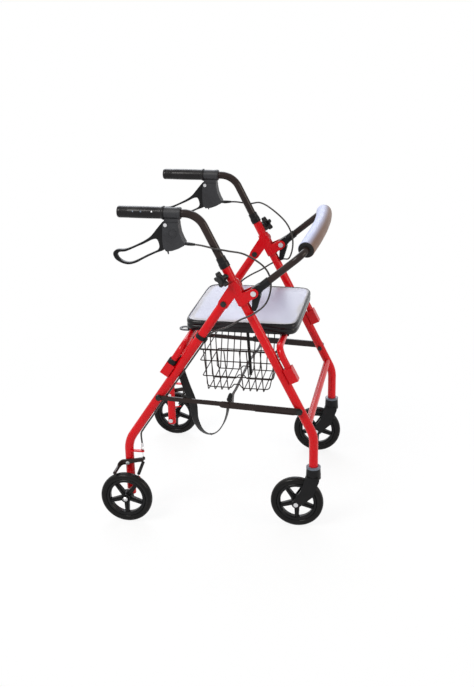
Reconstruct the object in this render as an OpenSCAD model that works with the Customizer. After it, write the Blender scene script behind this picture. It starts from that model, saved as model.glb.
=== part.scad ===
// Folding four-wheel walker (rollator): seat, back bow, wire basket, loop brakes, sprung casters.
// Lengths in millimetres, angles in degrees. X points forward, Y to the user's left, Z up.
// The wheels stand on Z = 0. Left-hand pieces are drawn on +Y and mirrored for the right hand.

/* [Wheels] */
// Wheel diameter over the tyre
wheel_d = 152; // [144:1:158]
// Tyre width
tyre_w = 26; // [22:1:30]
// Rear wheel centre plane outboard of the leg centre line
wheel_out = 51; // [48:1:58]
// Caster axle behind its stem
trail = 46.5; // [42:0.5:52]
// Number of wheel spokes
spokes = 5; // [4:1:7]

/* [Frame] */
// Spacing of the leg centre lines across the walker
leg_span = 484; // [460:2:520]
// Leg tube outer diameter
tube_d = 25.4; // [25:0.1:26.4]
// Leg tube wall
tube_wall = 1.4; // [1.2:0.1:1.6]
// Front leg slope, back from upright
front_slope = 26.565; // [25.6:0.05:27.6]
// Rear leg slope, forward from upright
rear_slope = 33.92; // [33:0.05:34.8]
// Seat bar diameter
bar_d = 19; // [17:0.5:20]
// Welded cross tube diameter
cross_d = 20; // [18:0.5:23]
// Folding travel of the rear frame
fold_deg = 26; // [20:1:27]

/* [Handles] */
// Height of the grip centre line above the floor
grip_z = 909.5; // [880:1:940]
// Handle tube diameter
handle_d = 22; // [21:0.1:22.2]
// Grip diameter
grip_d = 32; // [29:0.5:34]
// Spacing of the height holes
hole_pitch = 25; // [20:1:30]
// Knob lobe circle
knob_d = 46; // [38:1:50]

/* [Seat and back] */
// Seat depth, front to back
seat_d = 322; // [296:2:340]
// Seat width
seat_w = 344; // [310:2:370]
// Height of the seat top at its edge
seat_z = 584; // [582:0.5:590]
// Foam sleeve diameter of the back bow
foam_d = 46; // [38:1:50]
// Slope of the back bow, up from level
bow_slope = 39.7; // [36:0.5:44]

/* [Basket] */
// Basket rim width across the walker
basket_w = 280; // [250:2:300]
// Basket depth from rim to floor
basket_h = 147; // [120:1:160]
// Basket mesh wire diameter
wire_d = 3.2; // [2.8:0.1:3.6]
// Basket rim wire diameter
rim_d = 5; // [4.5:0.1:5.4]

/* [Cables and straps] */
// Brake cable diameter
cable_d = 5; // [4:0.1:5.4]
// Lift strap width
strap_w = 8; // [6:0.5:14]
// Hold strap width
hold_w = 24; // [18:0.5:26]

/* [Hidden] */
$fn = 64;
// colours of the preview
paint = [0.78, 0.05, 0.07];
black = [0.08, 0.08, 0.09];
rubber = [0.12, 0.12, 0.12];
steel = [0.75, 0.76, 0.78];
grey = [0.5, 0.54, 0.58];
vinyl = [0.16, 0.16, 0.19];
foam = [0.33, 0.34, 0.42];
// clearances
run = 0.05;        // running fit, radial
clear = 0.3;       // moving faces that must not touch
slide = 0.3;       // handle tube in the leg, radial
// legs: corners of the centre lines, in X and Z
yl = leg_span / 2;
tr = tube_d / 2;
ti = tr - tube_wall;
wr = wheel_d / 2;
stem_x = 289.5;
front_corner = [stem_x, 286];
front_len = 545.6;
rear_x = -248;
rear_corner = [rear_x, 232];
pivot_h = 524.2;
leg_bend = 90;
fu = [-sin(front_slope), cos(front_slope)];   // up along the front leg
fn = [cos(front_slope), sin(front_slope)];    // forward off the front leg
ru = [sin(rear_slope), cos(rear_slope)];      // up along the rear leg
rn = [-cos(rear_slope), sin(rear_slope)];     // backward off the rear leg
pivot = rear_corner + pivot_h * ru;
leg_top = front_corner + front_len * fu;
// casters
crown_z = wheel_d + 3;
collar_top = crown_z + 32;
ring_h = 5;
leg_low = crown_z + 7;
axle_r = 4;
// seat bars
bar_r = bar_d / 2;
bar_off = tr + 12.8;
pad_gap = 5;
cushion_t = 24;
board_t = 6;
board_z = seat_z - cushion_t - board_t;
bar_z = board_z - pad_gap - bar_r;
function on_line(c, u, z) = c + u * (z - c[1]) / u[1];
front_bar = on_line(front_corner + bar_off * fn, fu, bar_z);
rear_bar = on_line(rear_corner + bar_off * rn, ru, bar_z);
front_sock = [168, 212];
rear_sock = [246, 284];
sock_w = 25;
bar_bend = 32;
// brackets, in front-leg coordinates: across the leg, along the leg
function in_leg(p) = [(p - front_corner) * fn, (p - front_corner) * fu];
pv = in_leg(pivot);
ear = [39.8, 443];
back_pin = front_corner + ear[0] * fn + ear[1] * fu;
plate_in = tr + clear;
plate_t = 2.6;
pin_r = 4;
// braces
front_pin = front_corner + 87.2 * fu;
rear_pin = rear_corner + 178.3 * ru;
link_t = 3;
link_y0 = tr + 0.6;                 // rear link, off the leg centre plane
link_y1 = link_y0 + link_t + 0.5;   // front link
mid_share = 0.503;
mid_pin = front_pin + mid_share * (rear_pin - front_pin);
// handles
hr = handle_d / 2;
grip_rad = grip_d / 2;
handle_corner = on_line(front_corner, fu, grip_z);
gx = handle_corner[0] - on_line(front_corner, fu, 909.5)[0];   // the grips keep their place on the bent tube
grip_x = [gx - 240.5, gx - 116];
flange_x = gx - 112;
clamp_x = gx - 67;
handle_in = 220;
knob_h = 515;
lever_pin = [gx - 107, grip_z - 29.1];
lever_t = 12;
cheek = 15;
// brakes
brake_pin = [rear_x - 1, wheel_d + 17];
brake_y = tr + 0.6;
arm_t = 6;
tab_z = wheel_d + 50;
// back bow
bu = [cos(bow_slope), sin(bow_slope)];
bow_r = 9.5;
foam_r = foam_d / 2;
// basket
rim_z = bar_z - bar_r - 43;
floor_z = rim_z - basket_h;
wire_r = wire_d / 2;
rim_r = rim_d / 2;
hook_r = 1.75;
bx = [-53, 168];       // rim, rear and front
fx = [-49, 137];       // floor, rear and front
by = basket_w / 2;
fy = by - 52;
groove_x = 40;

// shared shapes
function unit(v) = v / norm(v);
function xz(p, y) = [p[0], y, p[1]];
function turn(p, i) = acos(max(-1, min(1, unit(p[i] - p[i - 1]) * unit(p[i + 1] - p[i]))));
function back_off(p, b, i) = i <= 0 || i >= len(p) - 1 ? 0 : b[i] * tan(turn(p, i) / 2);
// straight round bar between two points
module rod(a, b, r) {
  v = b - a;
  translate(a) rotate([0, acos(v[2] / norm(v)), atan2(v[1], v[0])]) cylinder(r = r, h = norm(v));
}
// flat outline swept round corner i of the path p, with bend radius b[i]
module bend_at(p, b, i) {
  u = unit(p[i] - p[i - 1]);
  w = unit(p[i + 1] - p[i]);
  n = unit(w - (u * w) * u);
  c = p[i] - back_off(p, b, i) * u + b[i] * n;
  k = cross(-n, u);
  multmatrix([[-n[0], u[0], k[0], c[0]], [-n[1], u[1], k[1], c[1]], [-n[2], u[2], k[2], c[2]], [0, 0, 0,
    1]])
    rotate_extrude(angle = turn(p, i)) translate([b[i], 0]) children();
}
// bar along corner points p, with bend radius b[i] at each inner corner
// straights reach a little into the bends, and the bends are a touch fuller, so the two always join
reach = 0.3;
fuller = 0.1;
function start_of(p, b, i) = back_off(p, b, i) - (i > 0 && i < len(p) - 1 ? reach : 0);
module bent_rod(p, b, r) {
  for (i = [0 : len(p) - 2]) {
    u = unit(p[i + 1] - p[i]);
    rod(p[i] + start_of(p, b, i) * u, p[i + 1] - start_of(p, b, i + 1) * u, r);
  }
  for (i = [1 : len(p) - 2]) bend_at(p, b, i) circle(r + fuller);
}
// the same path with its two ends moved out by e0 and e1
function stretch(p, e0, e1) = let (n = len(p) - 1)
  [for (i = [0 : n]) i == 0 ? p[0] - e0 * unit(p[1] - p[0]) : i == n ? p[n] + e1 * unit(p[n] - p[n - 1])
    : p[i]];
// hollow bar along the same kind of path, open at both ends
module pipe(a, b, ro, ri) {
  v = b - a;
  translate(a) rotate([0, acos(v[2] / norm(v)), atan2(v[1], v[0])])
    linear_extrude(norm(v)) difference() { circle(ro); circle(ri); }
}
module bent_tube(p, b, ro, ri) {
  for (i = [0 : len(p) - 2]) {
    u = unit(p[i + 1] - p[i]);
    pipe(p[i] + start_of(p, b, i) * u, p[i + 1] - start_of(p, b, i + 1) * u, ro, ri);
  }
  for (i = [1 : len(p) - 2]) bend_at(p, b, i) difference() { circle(ro + fuller); circle(ri - fuller); }
}
module pair() { children(); mirror([0, 1, 0]) children(); }
module side(s) { if (s > 0) children(); else mirror([0, 1, 0]) children(); }
module on_front(h) translate(xz(front_corner + h * fu, yl)) rotate([0, -front_slope, 0]) children();
module on_rear(h) translate(xz(rear_corner + h * ru, yl)) rotate([0, rear_slope, 0]) children();
// flat outline in X and Z, extruded in Y from y0 to y1
module slab(y0, y1) translate([0, y1, 0]) rotate([90, 0, 0]) linear_extrude(y1 - y0) children();
// pin along Y
module ypin(p, y0, y1, r) translate(xz(p, y0)) rotate([-90, 0, 0]) cylinder(r = r, h = y1 - y0);
// flat arm between two round ends
module arm(a, ra, b, rb) {
  n = unit([-(b - a)[1], (b - a)[0]]);
  translate(a) circle(ra);
  translate(b) circle(rb);
  polygon([a + (ra - 0.02) * n, a - (ra - 0.02) * n, b - (rb - 0.02) * n, b + (rb - 0.02) * n]);
}
// smooth curve through points p: k samples a span, open or closed
function knot(p, i, closed) = closed ? p[(i + len(p)) % len(p)] : p[max(0, min(len(p) - 1, i))];
function mix4(a, b, c, d, t) = 0.5 * (2 * b + t * (c - a) + t * t * (2 * a - 5 * b + 4 * c - d)
  + t * t * t * (3 * b - a - 3 * c + d));
function smooth(p, k, closed = false) = [for (i = [0 : len(p) - (closed ? 1 : 2)], j = [0 : k - 1])
  mix4(knot(p, i - 1, closed), knot(p, i, closed), knot(p, i + 1, closed), knot(p, i + 2, closed), j / k),
  if (!closed) p[len(p) - 1]];
// tube swept along points p, with an outline given per ring by its two half widths and a start direction
function ahead(p, i) = unit(p[min(len(p) - 1, i + 1)] - p[max(0, i - 1)]);
function carry(p, v, i) = let (t = ahead(p, i), w = v - (v * t) * t) w / norm(w);
function sides_of(p, v, i = 0, made = []) = i == len(p) ? made
  : let (w = carry(p, i == 0 ? v : made[i - 1], i)) sides_of(p, v, i + 1, concat(made, [w]));
module sweep(p, v, a, b, n, twist = 0) {
  s = sides_of(p, v);
  m = len(p);
  pts = [for (i = [0 : m - 1], k = [0 : n - 1]) let (t = ahead(p, i), w = cross(t, s[i]),
    q = 360 * (k + 0.5) / n,
    g = twist * max(0, min(1, 2 * i / (m - 1) - 0.5)),
    c = n == 4 ? sqrt(2) * cos(q) * a : cos(q) * a, d = n == 4 ? sqrt(2) * sin(q) * b : sin(q) * b)
    p[i] + (c * cos(g) - d * sin(g)) * s[i] + (c * sin(g) + d * cos(g)) * w];
  faces = concat([[for (k = [0 : n - 1]) n - 1 - k]],
    [for (i = [0 : m - 2], k = [0 : n - 1], h = [0, 1]) let (a = i * n + k, b = i * n + (k + 1) % n)
      h == 0 ? [a, b, b + n] : [a, b + n, a + n]],
    [[for (k = [0 : n - 1]) (m - 1) * n + k]]);
  polyhedron(pts, [for (f = faces) [for (k = [len(f) - 1 : -1 : 0]) f[k]]], convexity = 6);
}

// front frame
front_path = [[stem_x, yl, leg_low], xz(front_corner, yl), xz(leg_top, yl)];
cross_pt = on_line(front_corner, fu, 318);
module front_legs() color(paint) difference() {
  union() {
    pair() bent_rod(front_path, [0, leg_bend, 0], tr);
    translate(xz(cross_pt, -yl)) rotate([-90, 0, 0]) cylinder(d = cross_d, h = leg_span);
    pair() on_front(front_sock[0]) translate([tr - 0.7, -sock_w / 2, 0])
      cube([bar_off + bar_r + 3 - tr, sock_w, front_sock[1] - front_sock[0]]);
  }
  pair() bent_rod(stretch(front_path, 1, 1), [0, leg_bend, 0], ti);
  translate(xz(cross_pt, tr - yl)) rotate([-90, 0, 0]) cylinder(d = cross_d - 3, h = leg_span - tube_d);
  pair() on_front(front_sock[0] + 6) translate([bar_off, 0, 0]) cylinder(r = bar_r, h = 80);
  pair() ypin(front_pin, yl - 20, yl + 20, pin_r);
  knob_seat(1, 3.3, 0, 30);
  knob_seat(-1, 3.3, 0, 30);
}
// round shape square to a leg top, along the knob axis, from r0 to r1 off the leg centre
knob_dir = 53;   // turned from forward towards the outside
module knob_at(s) translate([0, s > 0 ? 0 : -leg_span, 0]) on_front(knob_h)
  rotate([0, 0, s > 0 ? knob_dir : knob_dir + 180]) rotate([0, 90, 0]) children();
module knob_seat(s, r, r0, r1) knob_at(s) translate([0, 0, r0]) cylinder(r = r, h = r1 - r0);

function bar_path(bar, sock, c, n, u) = let (a = c + bar_off * n + (sock + 6) * u)
  [xz(a, yl), xz(bar, yl), xz(bar, -yl), xz(a, -yl)];
module seat_bar_front() color(paint)
  bent_tube(bar_path(front_bar, front_sock[0], front_corner, fn, fu), [0, bar_bend, bar_bend, 0], bar_r,
    bar_r - 1.5);
module seat_bar_rear() color(paint)
  bent_tube(bar_path(rear_bar, rear_sock[0], rear_corner, rn, ru), [0, bar_bend, bar_bend, 0], bar_r,
    bar_r - 1.5);

// Y bracket: two pressed plates on a sleeve round the front leg
module bracket_plate() rotate([90, 0, 0]) linear_extrude(plate_t) difference() {
  union() {
    arm(pv, 15, [0, pv[1] + 27.6], 16);
    arm(ear, 13, [4, ear[1] - 1], 15);
    translate([-13, pv[1] - 22]) square([26, 62]);
  }
  translate(pv) circle(pin_r);
  translate(ear) circle(pin_r);
}
module brackets() color(paint) pair() on_front(0) difference() {
  union() {
    translate([0, plate_in + plate_t, 0]) bracket_plate();
    translate([0, -plate_in, 0]) bracket_plate();
    translate([0, 0, pv[1] - 26]) cylinder(r = tr + 3.6, h = 70);
  }
  translate([0, 0, pv[1] - 50]) cylinder(r = tr, h = 110);
}
module leg_sleeve(s) difference() {
  union() {
    translate([0, s > 0 ? 0 : -leg_span, 0]) on_front(front_len - 9) {
      cylinder(r = tr + 1.8, h = 13);
      translate([0, 0, 12.9]) cylinder(r1 = tr + 1.8, r2 = hr + 2.2, h = 4);
      translate([0, 0, 16.8]) cylinder(r = hr + 2.2, h = 13);
    }
    // boss of the knob on the leg
    knob_seat(s, 8, 8, 23);
  }
  translate([0, s > 0 ? 0 : -leg_span, 0]) on_front(front_len - 50) {
    cylinder(r = tr, h = 50);
    cylinder(r = hr + slide, h = 90);
  }
  knob_seat(s, 3 + run, 0, 30);
}
module leg_sleeves() color(black) { leg_sleeve(1); leg_sleeve(-1); }
// shouldered bolt along Y with two low heads
module bolt(p, y0, y1, r, head) {
  ypin(p, y0, y1, r);
  ypin(p, y1, y1 + 3.4, head);
  ypin(p, y1 + 3.4, y1 + 4.6, head - 1.6);
  ypin(p, y0 - 4, y0, head);
}
module pivot_bolts() color(black) pair() bolt(pivot, yl - plate_in - plate_t, yl + plate_in + plate_t,
  pin_r, 8);
module back_bolts() color(steel) pair()
  bolt(back_pin, yl - plate_in - plate_t, yl + plate_in + plate_t, pin_r, 7.5);
// bolt through a leg tube: spacer against the leg, shank through the link, low head outside
module brace_bolt(p, y0, y1) {
  ypin(p, yl - tr - 1, y1 + 0.4, pin_r);
  ypin(p, yl - tr - 5, yl - tr - 1, 7);
  if (y0 > yl + tr + 1) ypin(p, yl + tr - 0.5, y0 - 0.4, 7.5);
  ypin(p, y1 + 0.4, y1 + 3.6, 8);
  ypin(p, y1 + 3.6, y1 + 4.8, 6.4);
}
module front_brace_bolts() color(black) pair() difference() {
  brace_bolt(front_pin, yl + link_y1, yl + link_y1 + link_t);
  translate(xz(front_corner, yl)) rotate([0, -front_slope, 0]) difference() {
    cylinder(r = tr, h = 200);
    cylinder(r = ti, h = 200);
    translate([0, 0, 87.2]) rotate([90, 0, 0]) cylinder(r = pin_r, h = 60, center = true);
  }
}
module rear_brace_bolts() color(black) pair() brace_bolt(rear_pin, yl + link_y0, yl + link_y0 + link_t);

// rear frame
rear_end = wr - 14;
rear_path = [[rear_x, yl, rear_end], xz(rear_corner, yl), xz(rear_corner + (pivot_h + 14) * ru, yl)];
module rear_legs() color(paint) pair() difference() {
  union() {
    bent_rod(rear_path, [0, leg_bend, 0], tr);
    on_rear(rear_sock[0]) translate([-(bar_off + bar_r + 3), -sock_w / 2, 0])
      cube([bar_off + bar_r + 3 - tr + 0.7, sock_w, rear_sock[1] - rear_sock[0]]);
    // cable stop
    translate([rear_x, yl + 2, tab_z]) cube([42, 10, 4]);
    translate([rear_x + 42, yl + 7, tab_z]) cylinder(r = 5, h = 4);
    // peg of the return spring
    rod([rear_x + 8, yl, wr + 44], [rear_x + 30, yl + 10, wr + 44], 2);
  }
  bent_rod(stretch(rear_path, -2, 1), [0, leg_bend, 0], ti);
  on_rear(rear_sock[0] + 6) translate([-bar_off, 0, 0]) cylinder(r = bar_r, h = 80);
  ypin(pivot, yl - 20, yl + 20, pin_r + run);
  ypin(rear_pin, yl - 20, yl + 20, pin_r);
  ypin([rear_x, wr], yl - 20, yl + 20, axle_r);
  ypin(brake_pin, yl - 20, yl + 20, 3);
  translate([rear_x + 42, yl + 7, tab_z - 1]) cylinder(r = 1.6, h = 6);
}
module socket_rings() color(black) pair() on_rear(rear_sock[1]) translate([-bar_off, 0, 0]) difference() {
  union() {
    cylinder(r = bar_r + 3, h = 12);
    translate([0, 0, 12]) cylinder(r1 = bar_r + 3, r2 = bar_r + 1.2, h = 3);
  }
  translate([0, 0, -1]) cylinder(r = bar_r, h = 20);
}
hub_in = wheel_out - 15;
hub_out = wheel_out + 14;
module rear_axles() color(steel) pair() {
  ypin([rear_x, wr], yl - tr - 1, yl + hub_out + 2, axle_r);
  ypin([rear_x, wr], yl - tr - 6, yl - tr - 1, 7);
  difference() {
    ypin([rear_x, wr], yl + tr - 2, yl + hub_in - clear, 8);
    translate([rear_x, yl, 0]) cylinder(r = tr, h = 200);
  }
  ypin([rear_x, wr], yl + hub_out + clear, yl + hub_out + 4, 7);
  translate([rear_x, yl + hub_out + 4, wr]) rotate([-90, 0, 0]) cylinder(r1 = 6.4, r2 = 3.4, h = 3);
}
module brake_pins() color(steel) pair() {
  ypin(brake_pin, yl - tr - 1, yl + brake_y + arm_t + 0.4, 3);
  ypin(brake_pin, yl - tr - 3, yl - tr - 1, 5.5);
  ypin(brake_pin, yl + brake_y + arm_t + 0.4, yl + brake_y + arm_t + 2.8, 5.5);
}
tie_h = 396;
module cable_ties() color(black) pair() on_rear(tie_h) difference() {
  union() {
    cylinder(r = tr + 1.6, h = 12);
    translate([tr + cable_d / 2 + 0.8, 3, 0]) cylinder(r = cable_d / 2 + 2, h = 12);
  }
  translate([0, 0, -1]) cylinder(r = tr, h = 20);
  translate([tr + cable_d / 2 + 0.8, 3, -1]) cylinder(r = cable_d / 2 + 0.5, h = 20);
}

// wheels, drawn with the axle along Z
rim_ro = wr - 18;
rim_ri = wr - 28;
module wheel_hub() difference() {
  union() {
    translate([0, 0, -15]) cylinder(r = 13.5, h = 29);
    translate([0, 0, -9]) cylinder(r1 = 19, r2 = 15.5, h = 16);
    rotate_extrude() polygon([[rim_ri, -6], [rim_ri + 3, -10.5], [rim_ro - 1.5, -10.5], [rim_ro, -9],
      [rim_ro, 9],
      [rim_ro - 1.5, 10.5], [rim_ri + 3, 10.5], [rim_ri, 6]]);
    for (i = [0 : spokes - 1]) rotate([0, 0, 90 + i * 360 / spokes]) {
      translate([0, 0, -5]) linear_extrude(10) polygon([[8, -7.5], [rim_ri + 2, -5.5], [rim_ri + 2, 5.5],
        [8, 7.5]]);
      translate([0, 0, -8]) linear_extrude(15.5) polygon([[8, -2.2], [rim_ri + 3, -1.6], [rim_ri + 3,
        1.6], [8, 2.2]]);
    }
  }
  translate([0, 0, -20]) cylinder(r = axle_r + run, h = 40);
  translate([0, 0, 10]) difference() { cylinder(r = 11, h = 9); cylinder(r = 8.5, h = 9); }
}
tw = tyre_w / 2;
module wheel_tyre() rotate_extrude() polygon(concat(
  [[rim_ro, -9], [rim_ro + 3, -tw + 1.4]],
  [for (i = [0 : 12]) let (a = -90 + 15 * i) [wr - 11 + 11 * pow(cos(a), 0.75),
    tw * sign(sin(a)) * pow(abs(sin(a)), 0.8)]],
  [[rim_ro + 3, tw - 1.4], [rim_ro, 9]]));
module at_rear_wheel(s) side(s) translate([rear_x, yl + wheel_out, wr]) rotate([-90, 0, 0]) children();
module at_front_wheel(s) side(s) translate([stem_x - trail, yl, wr]) rotate([-90, 0, 0]) children();
module hub_rl() color(black) at_rear_wheel(1) wheel_hub();
module hub_rr() color(black) at_rear_wheel(-1) wheel_hub();
module hub_fl() color(black) at_front_wheel(1) wheel_hub();
module hub_fr() color(black) at_front_wheel(-1) wheel_hub();
module tyre_rl() color(rubber) at_rear_wheel(1) wheel_tyre();
module tyre_rr() color(rubber) at_rear_wheel(-1) wheel_tyre();
module tyre_fl() color(rubber) at_front_wheel(1) wheel_tyre();
module tyre_fr() color(rubber) at_front_wheel(-1) wheel_tyre();

// casters
axle_p = [stem_x - trail, wr];
arm_in = 16;
arm_out = 22;
module fork_cheek() {
  arm(axle_p, 12.5, [stem_x - 15, wr + 38], 19);
  arm([stem_x - 15, wr + 38], 19, [stem_x - 1, crown_z + 2], 20);
}
module fork_side(y0, y1) slab(yl + y0, yl + y1) difference() {
  fork_cheek();
  translate([0, crown_z + 8]) square([800, 60]);
}
module fork() difference() {
  union() {
    translate([stem_x, yl, crown_z]) cylinder(r1 = 21.5, r2 = 20, h = collar_top - crown_z);
    fork_side(arm_in, arm_out);
    fork_side(-arm_out, -arm_in);
  }
  translate([stem_x, yl, leg_low - 1]) cylinder(r = tr + clear, h = 60);
  ypin(axle_p, yl - 40, yl + 40, axle_r);
}
module collar_ring() translate([stem_x, yl, collar_top]) difference() {
  union() {
    cylinder(r = 20.6, h = ring_h - 1.5);
    translate([0, 0, ring_h - 1.5]) cylinder(r1 = 20.6, r2 = 18.6, h = 1.5);
  }
  translate([0, 0, -1]) cylinder(r = tr + run, h = 10);
}
module caster_axle() {
  ypin(axle_p, yl - arm_out - 2, yl + arm_out + 2, axle_r);
  ypin(axle_p, yl + arm_out, yl + arm_out + 4, 6.6);
  ypin(axle_p, yl - arm_out - 5, yl - arm_out, 6.6);
}
module fork_l() color(black) fork();
module fork_r() color(black) side(-1) fork();
module collar_ring_l() color(grey) collar_ring();
module collar_ring_r() color(grey) side(-1) collar_ring();
module caster_axle_l() color(steel) caster_axle();
module caster_axle_r() color(steel) side(-1) caster_axle();

// handles
tube_end = grip_x[0] + 3;
handle_path = [xz(leg_top - handle_in * fu, yl), xz(handle_corner, yl), [tube_end, yl, grip_z]];
module handle_tube(s) difference() {
  translate([0, s > 0 ? 0 : -leg_span, 0]) bent_tube(handle_path, [0, 60, 0], hr, hr - 1.5);
  for (i = [-2 : 3]) translate(xz(i * hole_pitch * fu, 0)) knob_seat(s, 3.4, 4, 16);
}
module handle_tube_l() color(black) handle_tube(1);
module handle_tube_r() color(black) handle_tube(-1);
// grip turned round the tube: ribbed palm, domed end, hand stop
function grip_profile() = concat(
  [[0, grip_x[0]], [grip_rad - 6, grip_x[0]], [grip_rad - 2, grip_x[0] + 1.4], [grip_rad - 0.4,
    grip_x[0] + 4.5]],
  [for (i = [0 : 8], j = [0 : 3]) [grip_rad - (j == 1 || j == 2 ? 1.2 : 0), grip_x[0] + 22 + i * 9 + [0,
    0.8, 3, 3.8][j]]],
  [[grip_rad, grip_x[1] - 6], [grip_rad + 2.5, grip_x[1]], [grip_rad + 2.5, flange_x - 0.8],
    [grip_rad + 1.7, flange_x],
   [hr, flange_x], [hr, tube_end], [0, tube_end]]);
module grip() translate([0, yl, grip_z]) rotate([0, 90, 0]) rotate_extrude() polygon(grip_profile());
module grip_l() color(rubber) grip();
module grip_r() color(rubber) side(-1) grip();
// brake housing: clamp ring and two cheeks with the lever between them
gz = grip_z - 909.5;
housing_line = [[-111, 897], [-111, 889.6], [-115, 884], [-116, 862], [-117, 838], [-115, 818], [-108, 808], [-92,
  809.5], [-74, 816],
  [-58, 825], [-57, 831], [-63, 842], [-69, 858], [-72, 876], [-73, 897]];
module housing() difference() {
  union() {
    intersection() {
      slab(yl - cheek, yl + cheek) translate([gx, gz]) polygon(housing_line);
      translate([gx - 130, yl, grip_z - 60]) rotate([90, 0, 90]) linear_extrude(90) union() {
        square([2 * cheek - 5, 160], center = true);
        for (k = [-1, 1]) translate([k * (cheek - 3.5), -3]) square([7, 79], center = true);
      }
    }
    translate([flange_x, yl, grip_z]) rotate([0, 90, 0]) cylinder(r = hr + 4.6, h = clamp_x - flange_x);
    translate([clamp_x - 9, yl, grip_z]) rotate([0, 90, 0]) cylinder(r = hr + 5.4, h = 7);
    // cable port
    rod([gx - 66, yl, grip_z - 81.5], [gx - 50, yl, grip_z - 83], 4.6);
    // raised ring on the outer cheek
    ypin([gx - 90, grip_z - 52], yl + cheek - 1, yl + cheek + 1.2, 12);
  }
  translate([flange_x - 5, yl, grip_z]) rotate([0, 90, 0]) cylinder(r = hr, h = 60);
  translate([gx - 150, yl - lever_t / 2 - 0.6, grip_z - 120]) cube([62, lever_t + 1.2, 103]);
  ypin(lever_pin, yl - 30, yl + 30, 3);
  ypin([gx - 90, grip_z - 52], yl + cheek, yl + cheek + 2, 9.5);
}
module brake_housing_l() color(black) housing();
module brake_housing_r() color(black) side(-1) housing();
module lever_bolt() {
  ypin(lever_pin, yl - cheek - 1.2, yl + cheek + 1.6, 3);
  ypin(lever_pin, yl + cheek, yl + cheek + 2.6, 5);
  ypin(lever_pin, yl - cheek - 3, yl - cheek, 5);
}
module lever_bolt_l() color(steel) lever_bolt();
module lever_bolt_r() color(steel) side(-1) lever_bolt();
// loop lever, outside and inside lines
lever_out = [[-98, 888], [-112, 890], [-130, 871], [-151, 846], [-170, 832], [-189, 822], [-208, 813],
  [-226, 807], [-246, 806],
  [-257, 799], [-258, 788], [-250, 776], [-232, 767], [-214, 765], [-194, 771], [-176, 781], [-157, 791],
    [-136, 801],
  [-118, 808], [-106, 818], [-98, 840], [-95, 866]];
lever_in = [[-134, 838], [-146, 837], [-160, 830], [-174, 823], [-189, 816.5], [-206, 808.5], [-224,
  801], [-240, 799],
  [-247, 791], [-241, 780], [-228, 772.5], [-213, 771], [-198, 775.5], [-180, 784.5], [-164, 793], [-148,
    800.5],
  [-134, 808], [-128, 820]];
module lever_outline(d) difference() {
  polygon(smooth(lever_out, 3, true));
  polygon(smooth(lever_in, 3, true));
}
module lever() difference() {
  translate([gx, 0, gz]) union() {
    slab(yl - lever_t / 2, yl + lever_t / 2) difference() {
      lever_outline();
      translate([-200, 700]) square([300, 110]);
      translate([-300, 700]) square([158, 300]);
    }
    // the loop narrows towards the fingers
    slab(yl - lever_t / 2 + 1.5, yl + lever_t / 2 - 1.5) lever_outline();
  }
  ypin(lever_pin, yl - 30, yl + 30, 3 + run);
}
module lever_l() color(black) lever();
module lever_r() color(black) side(-1) lever();
// star knob: screw, neck and five rounded lobes
module knob(s) knob_at(s) {
  translate([0, 0, hr + slide + 0.9]) cylinder(r = 3, h = 15.4);
  translate([0, 0, 23.4]) cylinder(r1 = 8, r2 = 10, h = 4);
  translate([0, 0, 26]) {
    cylinder(r = knob_d / 2 - 10, h = 11);
    for (i = [0 : 4]) rotate([0, 0, 36 + 72 * i]) {
      translate([knob_d / 2 - 6, 0, 0]) cylinder(r = 6, h = 10);
      linear_extrude(10) polygon([[6, -8], [knob_d / 2 - 6, -6], [knob_d / 2 - 6, 6], [6, 8]]);
    }
    translate([0, 0, 11]) cylinder(r1 = knob_d / 2 - 10, r2 = knob_d / 2 - 13, h = 2);
  }
}
module knob_l() color(black) knob(1);
module knob_r() color(black) knob(-1);

// rear brakes: bent arm on its pin, shoe over the tyre, cable anchor and return spring
bz = wheel_d - 152;
shoe_p = [rear_x - 29, 155.3 + bz];
anchor_p = [rear_x + 43, 181 + bz];
arm_top = [[-282, 158], [-278, 167], [-268, 175], [-252, 178.5], [-232, 181.5], [-214, 186], [-203, 187.5]];
arm_low = [[-203, 175.5], [-216, 173.5], [-232, 169.5], [-250, 163.5], [-262, 161.5], [-268, 158], [-272,
  153]];
module brake_arm() difference() {
  union() {
    slab(yl + brake_y, yl + brake_y + arm_t) translate([rear_x + 248, bz])
      polygon(concat(smooth(arm_top, 3), smooth(arm_low, 3), [[-279, 151.5]]));
    ypin(shoe_p, yl + brake_y, yl + wheel_out + tw - 2, 5);
    ypin(anchor_p, yl + brake_y - 9, yl + brake_y + arm_t + 2, 4.4);
  }
  ypin(brake_pin, yl, yl + 40, 3 + run);
  translate([anchor_p[0], yl + 7, anchor_p[1] - 10]) cylinder(r = 1.6, h = 20);
}
module brake_arm_l() color(black) brake_arm();
module brake_arm_r() color(black) side(-1) brake_arm();
spring_turns = 8;
spring_wire = 0.9;
spring_r = 4;
spring_y = yl + 10.5;
spring_a = [anchor_p[0], spring_y, anchor_p[1] - 10];
peg = [rear_x + 26, yl + 10 * 18 / 22, wr + 44];
peg_side = unit([-10, 22, 0]);
spring_b = peg + 4 * peg_side * 0.2 + [0, 0, 8];
function arc3(c, e, f, r, a0, a1,
  k) = [for (i = [0 : k]) let (q = a0 + (a1 - a0) * i / k) c + r * (cos(q) * e + sin(q) * f)];
module brake_spring() {
  v = spring_b - spring_a;
  t = unit(v);
  e = unit(cross([0, 1, 0], t));
  f = cross(t, e);
  n = spring_turns * 12;
  // hook over the anchor pin, coil, hook under the peg
  sweep(concat(
    arc3([anchor_p[0], spring_y, anchor_p[1]], [1, 0, 0], [0, 0, 1], 4.4 + spring_wire + 0.15, -40, 200, 8),
    [for (i = [0 : n]) spring_a + i / n * v + spring_r * (cos(30 * i) * e + sin(30 * i) * f)],
    arc3(peg, peg_side, [0, 0, 1], 2 + spring_wire + 0.15, 80, -160, 6)), [0, 1, 0], spring_wire,
      spring_wire, 6);
}
module brake_spring_l() color(steel) brake_spring();
module brake_spring_r() color(steel) side(-1) brake_spring();

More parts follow.
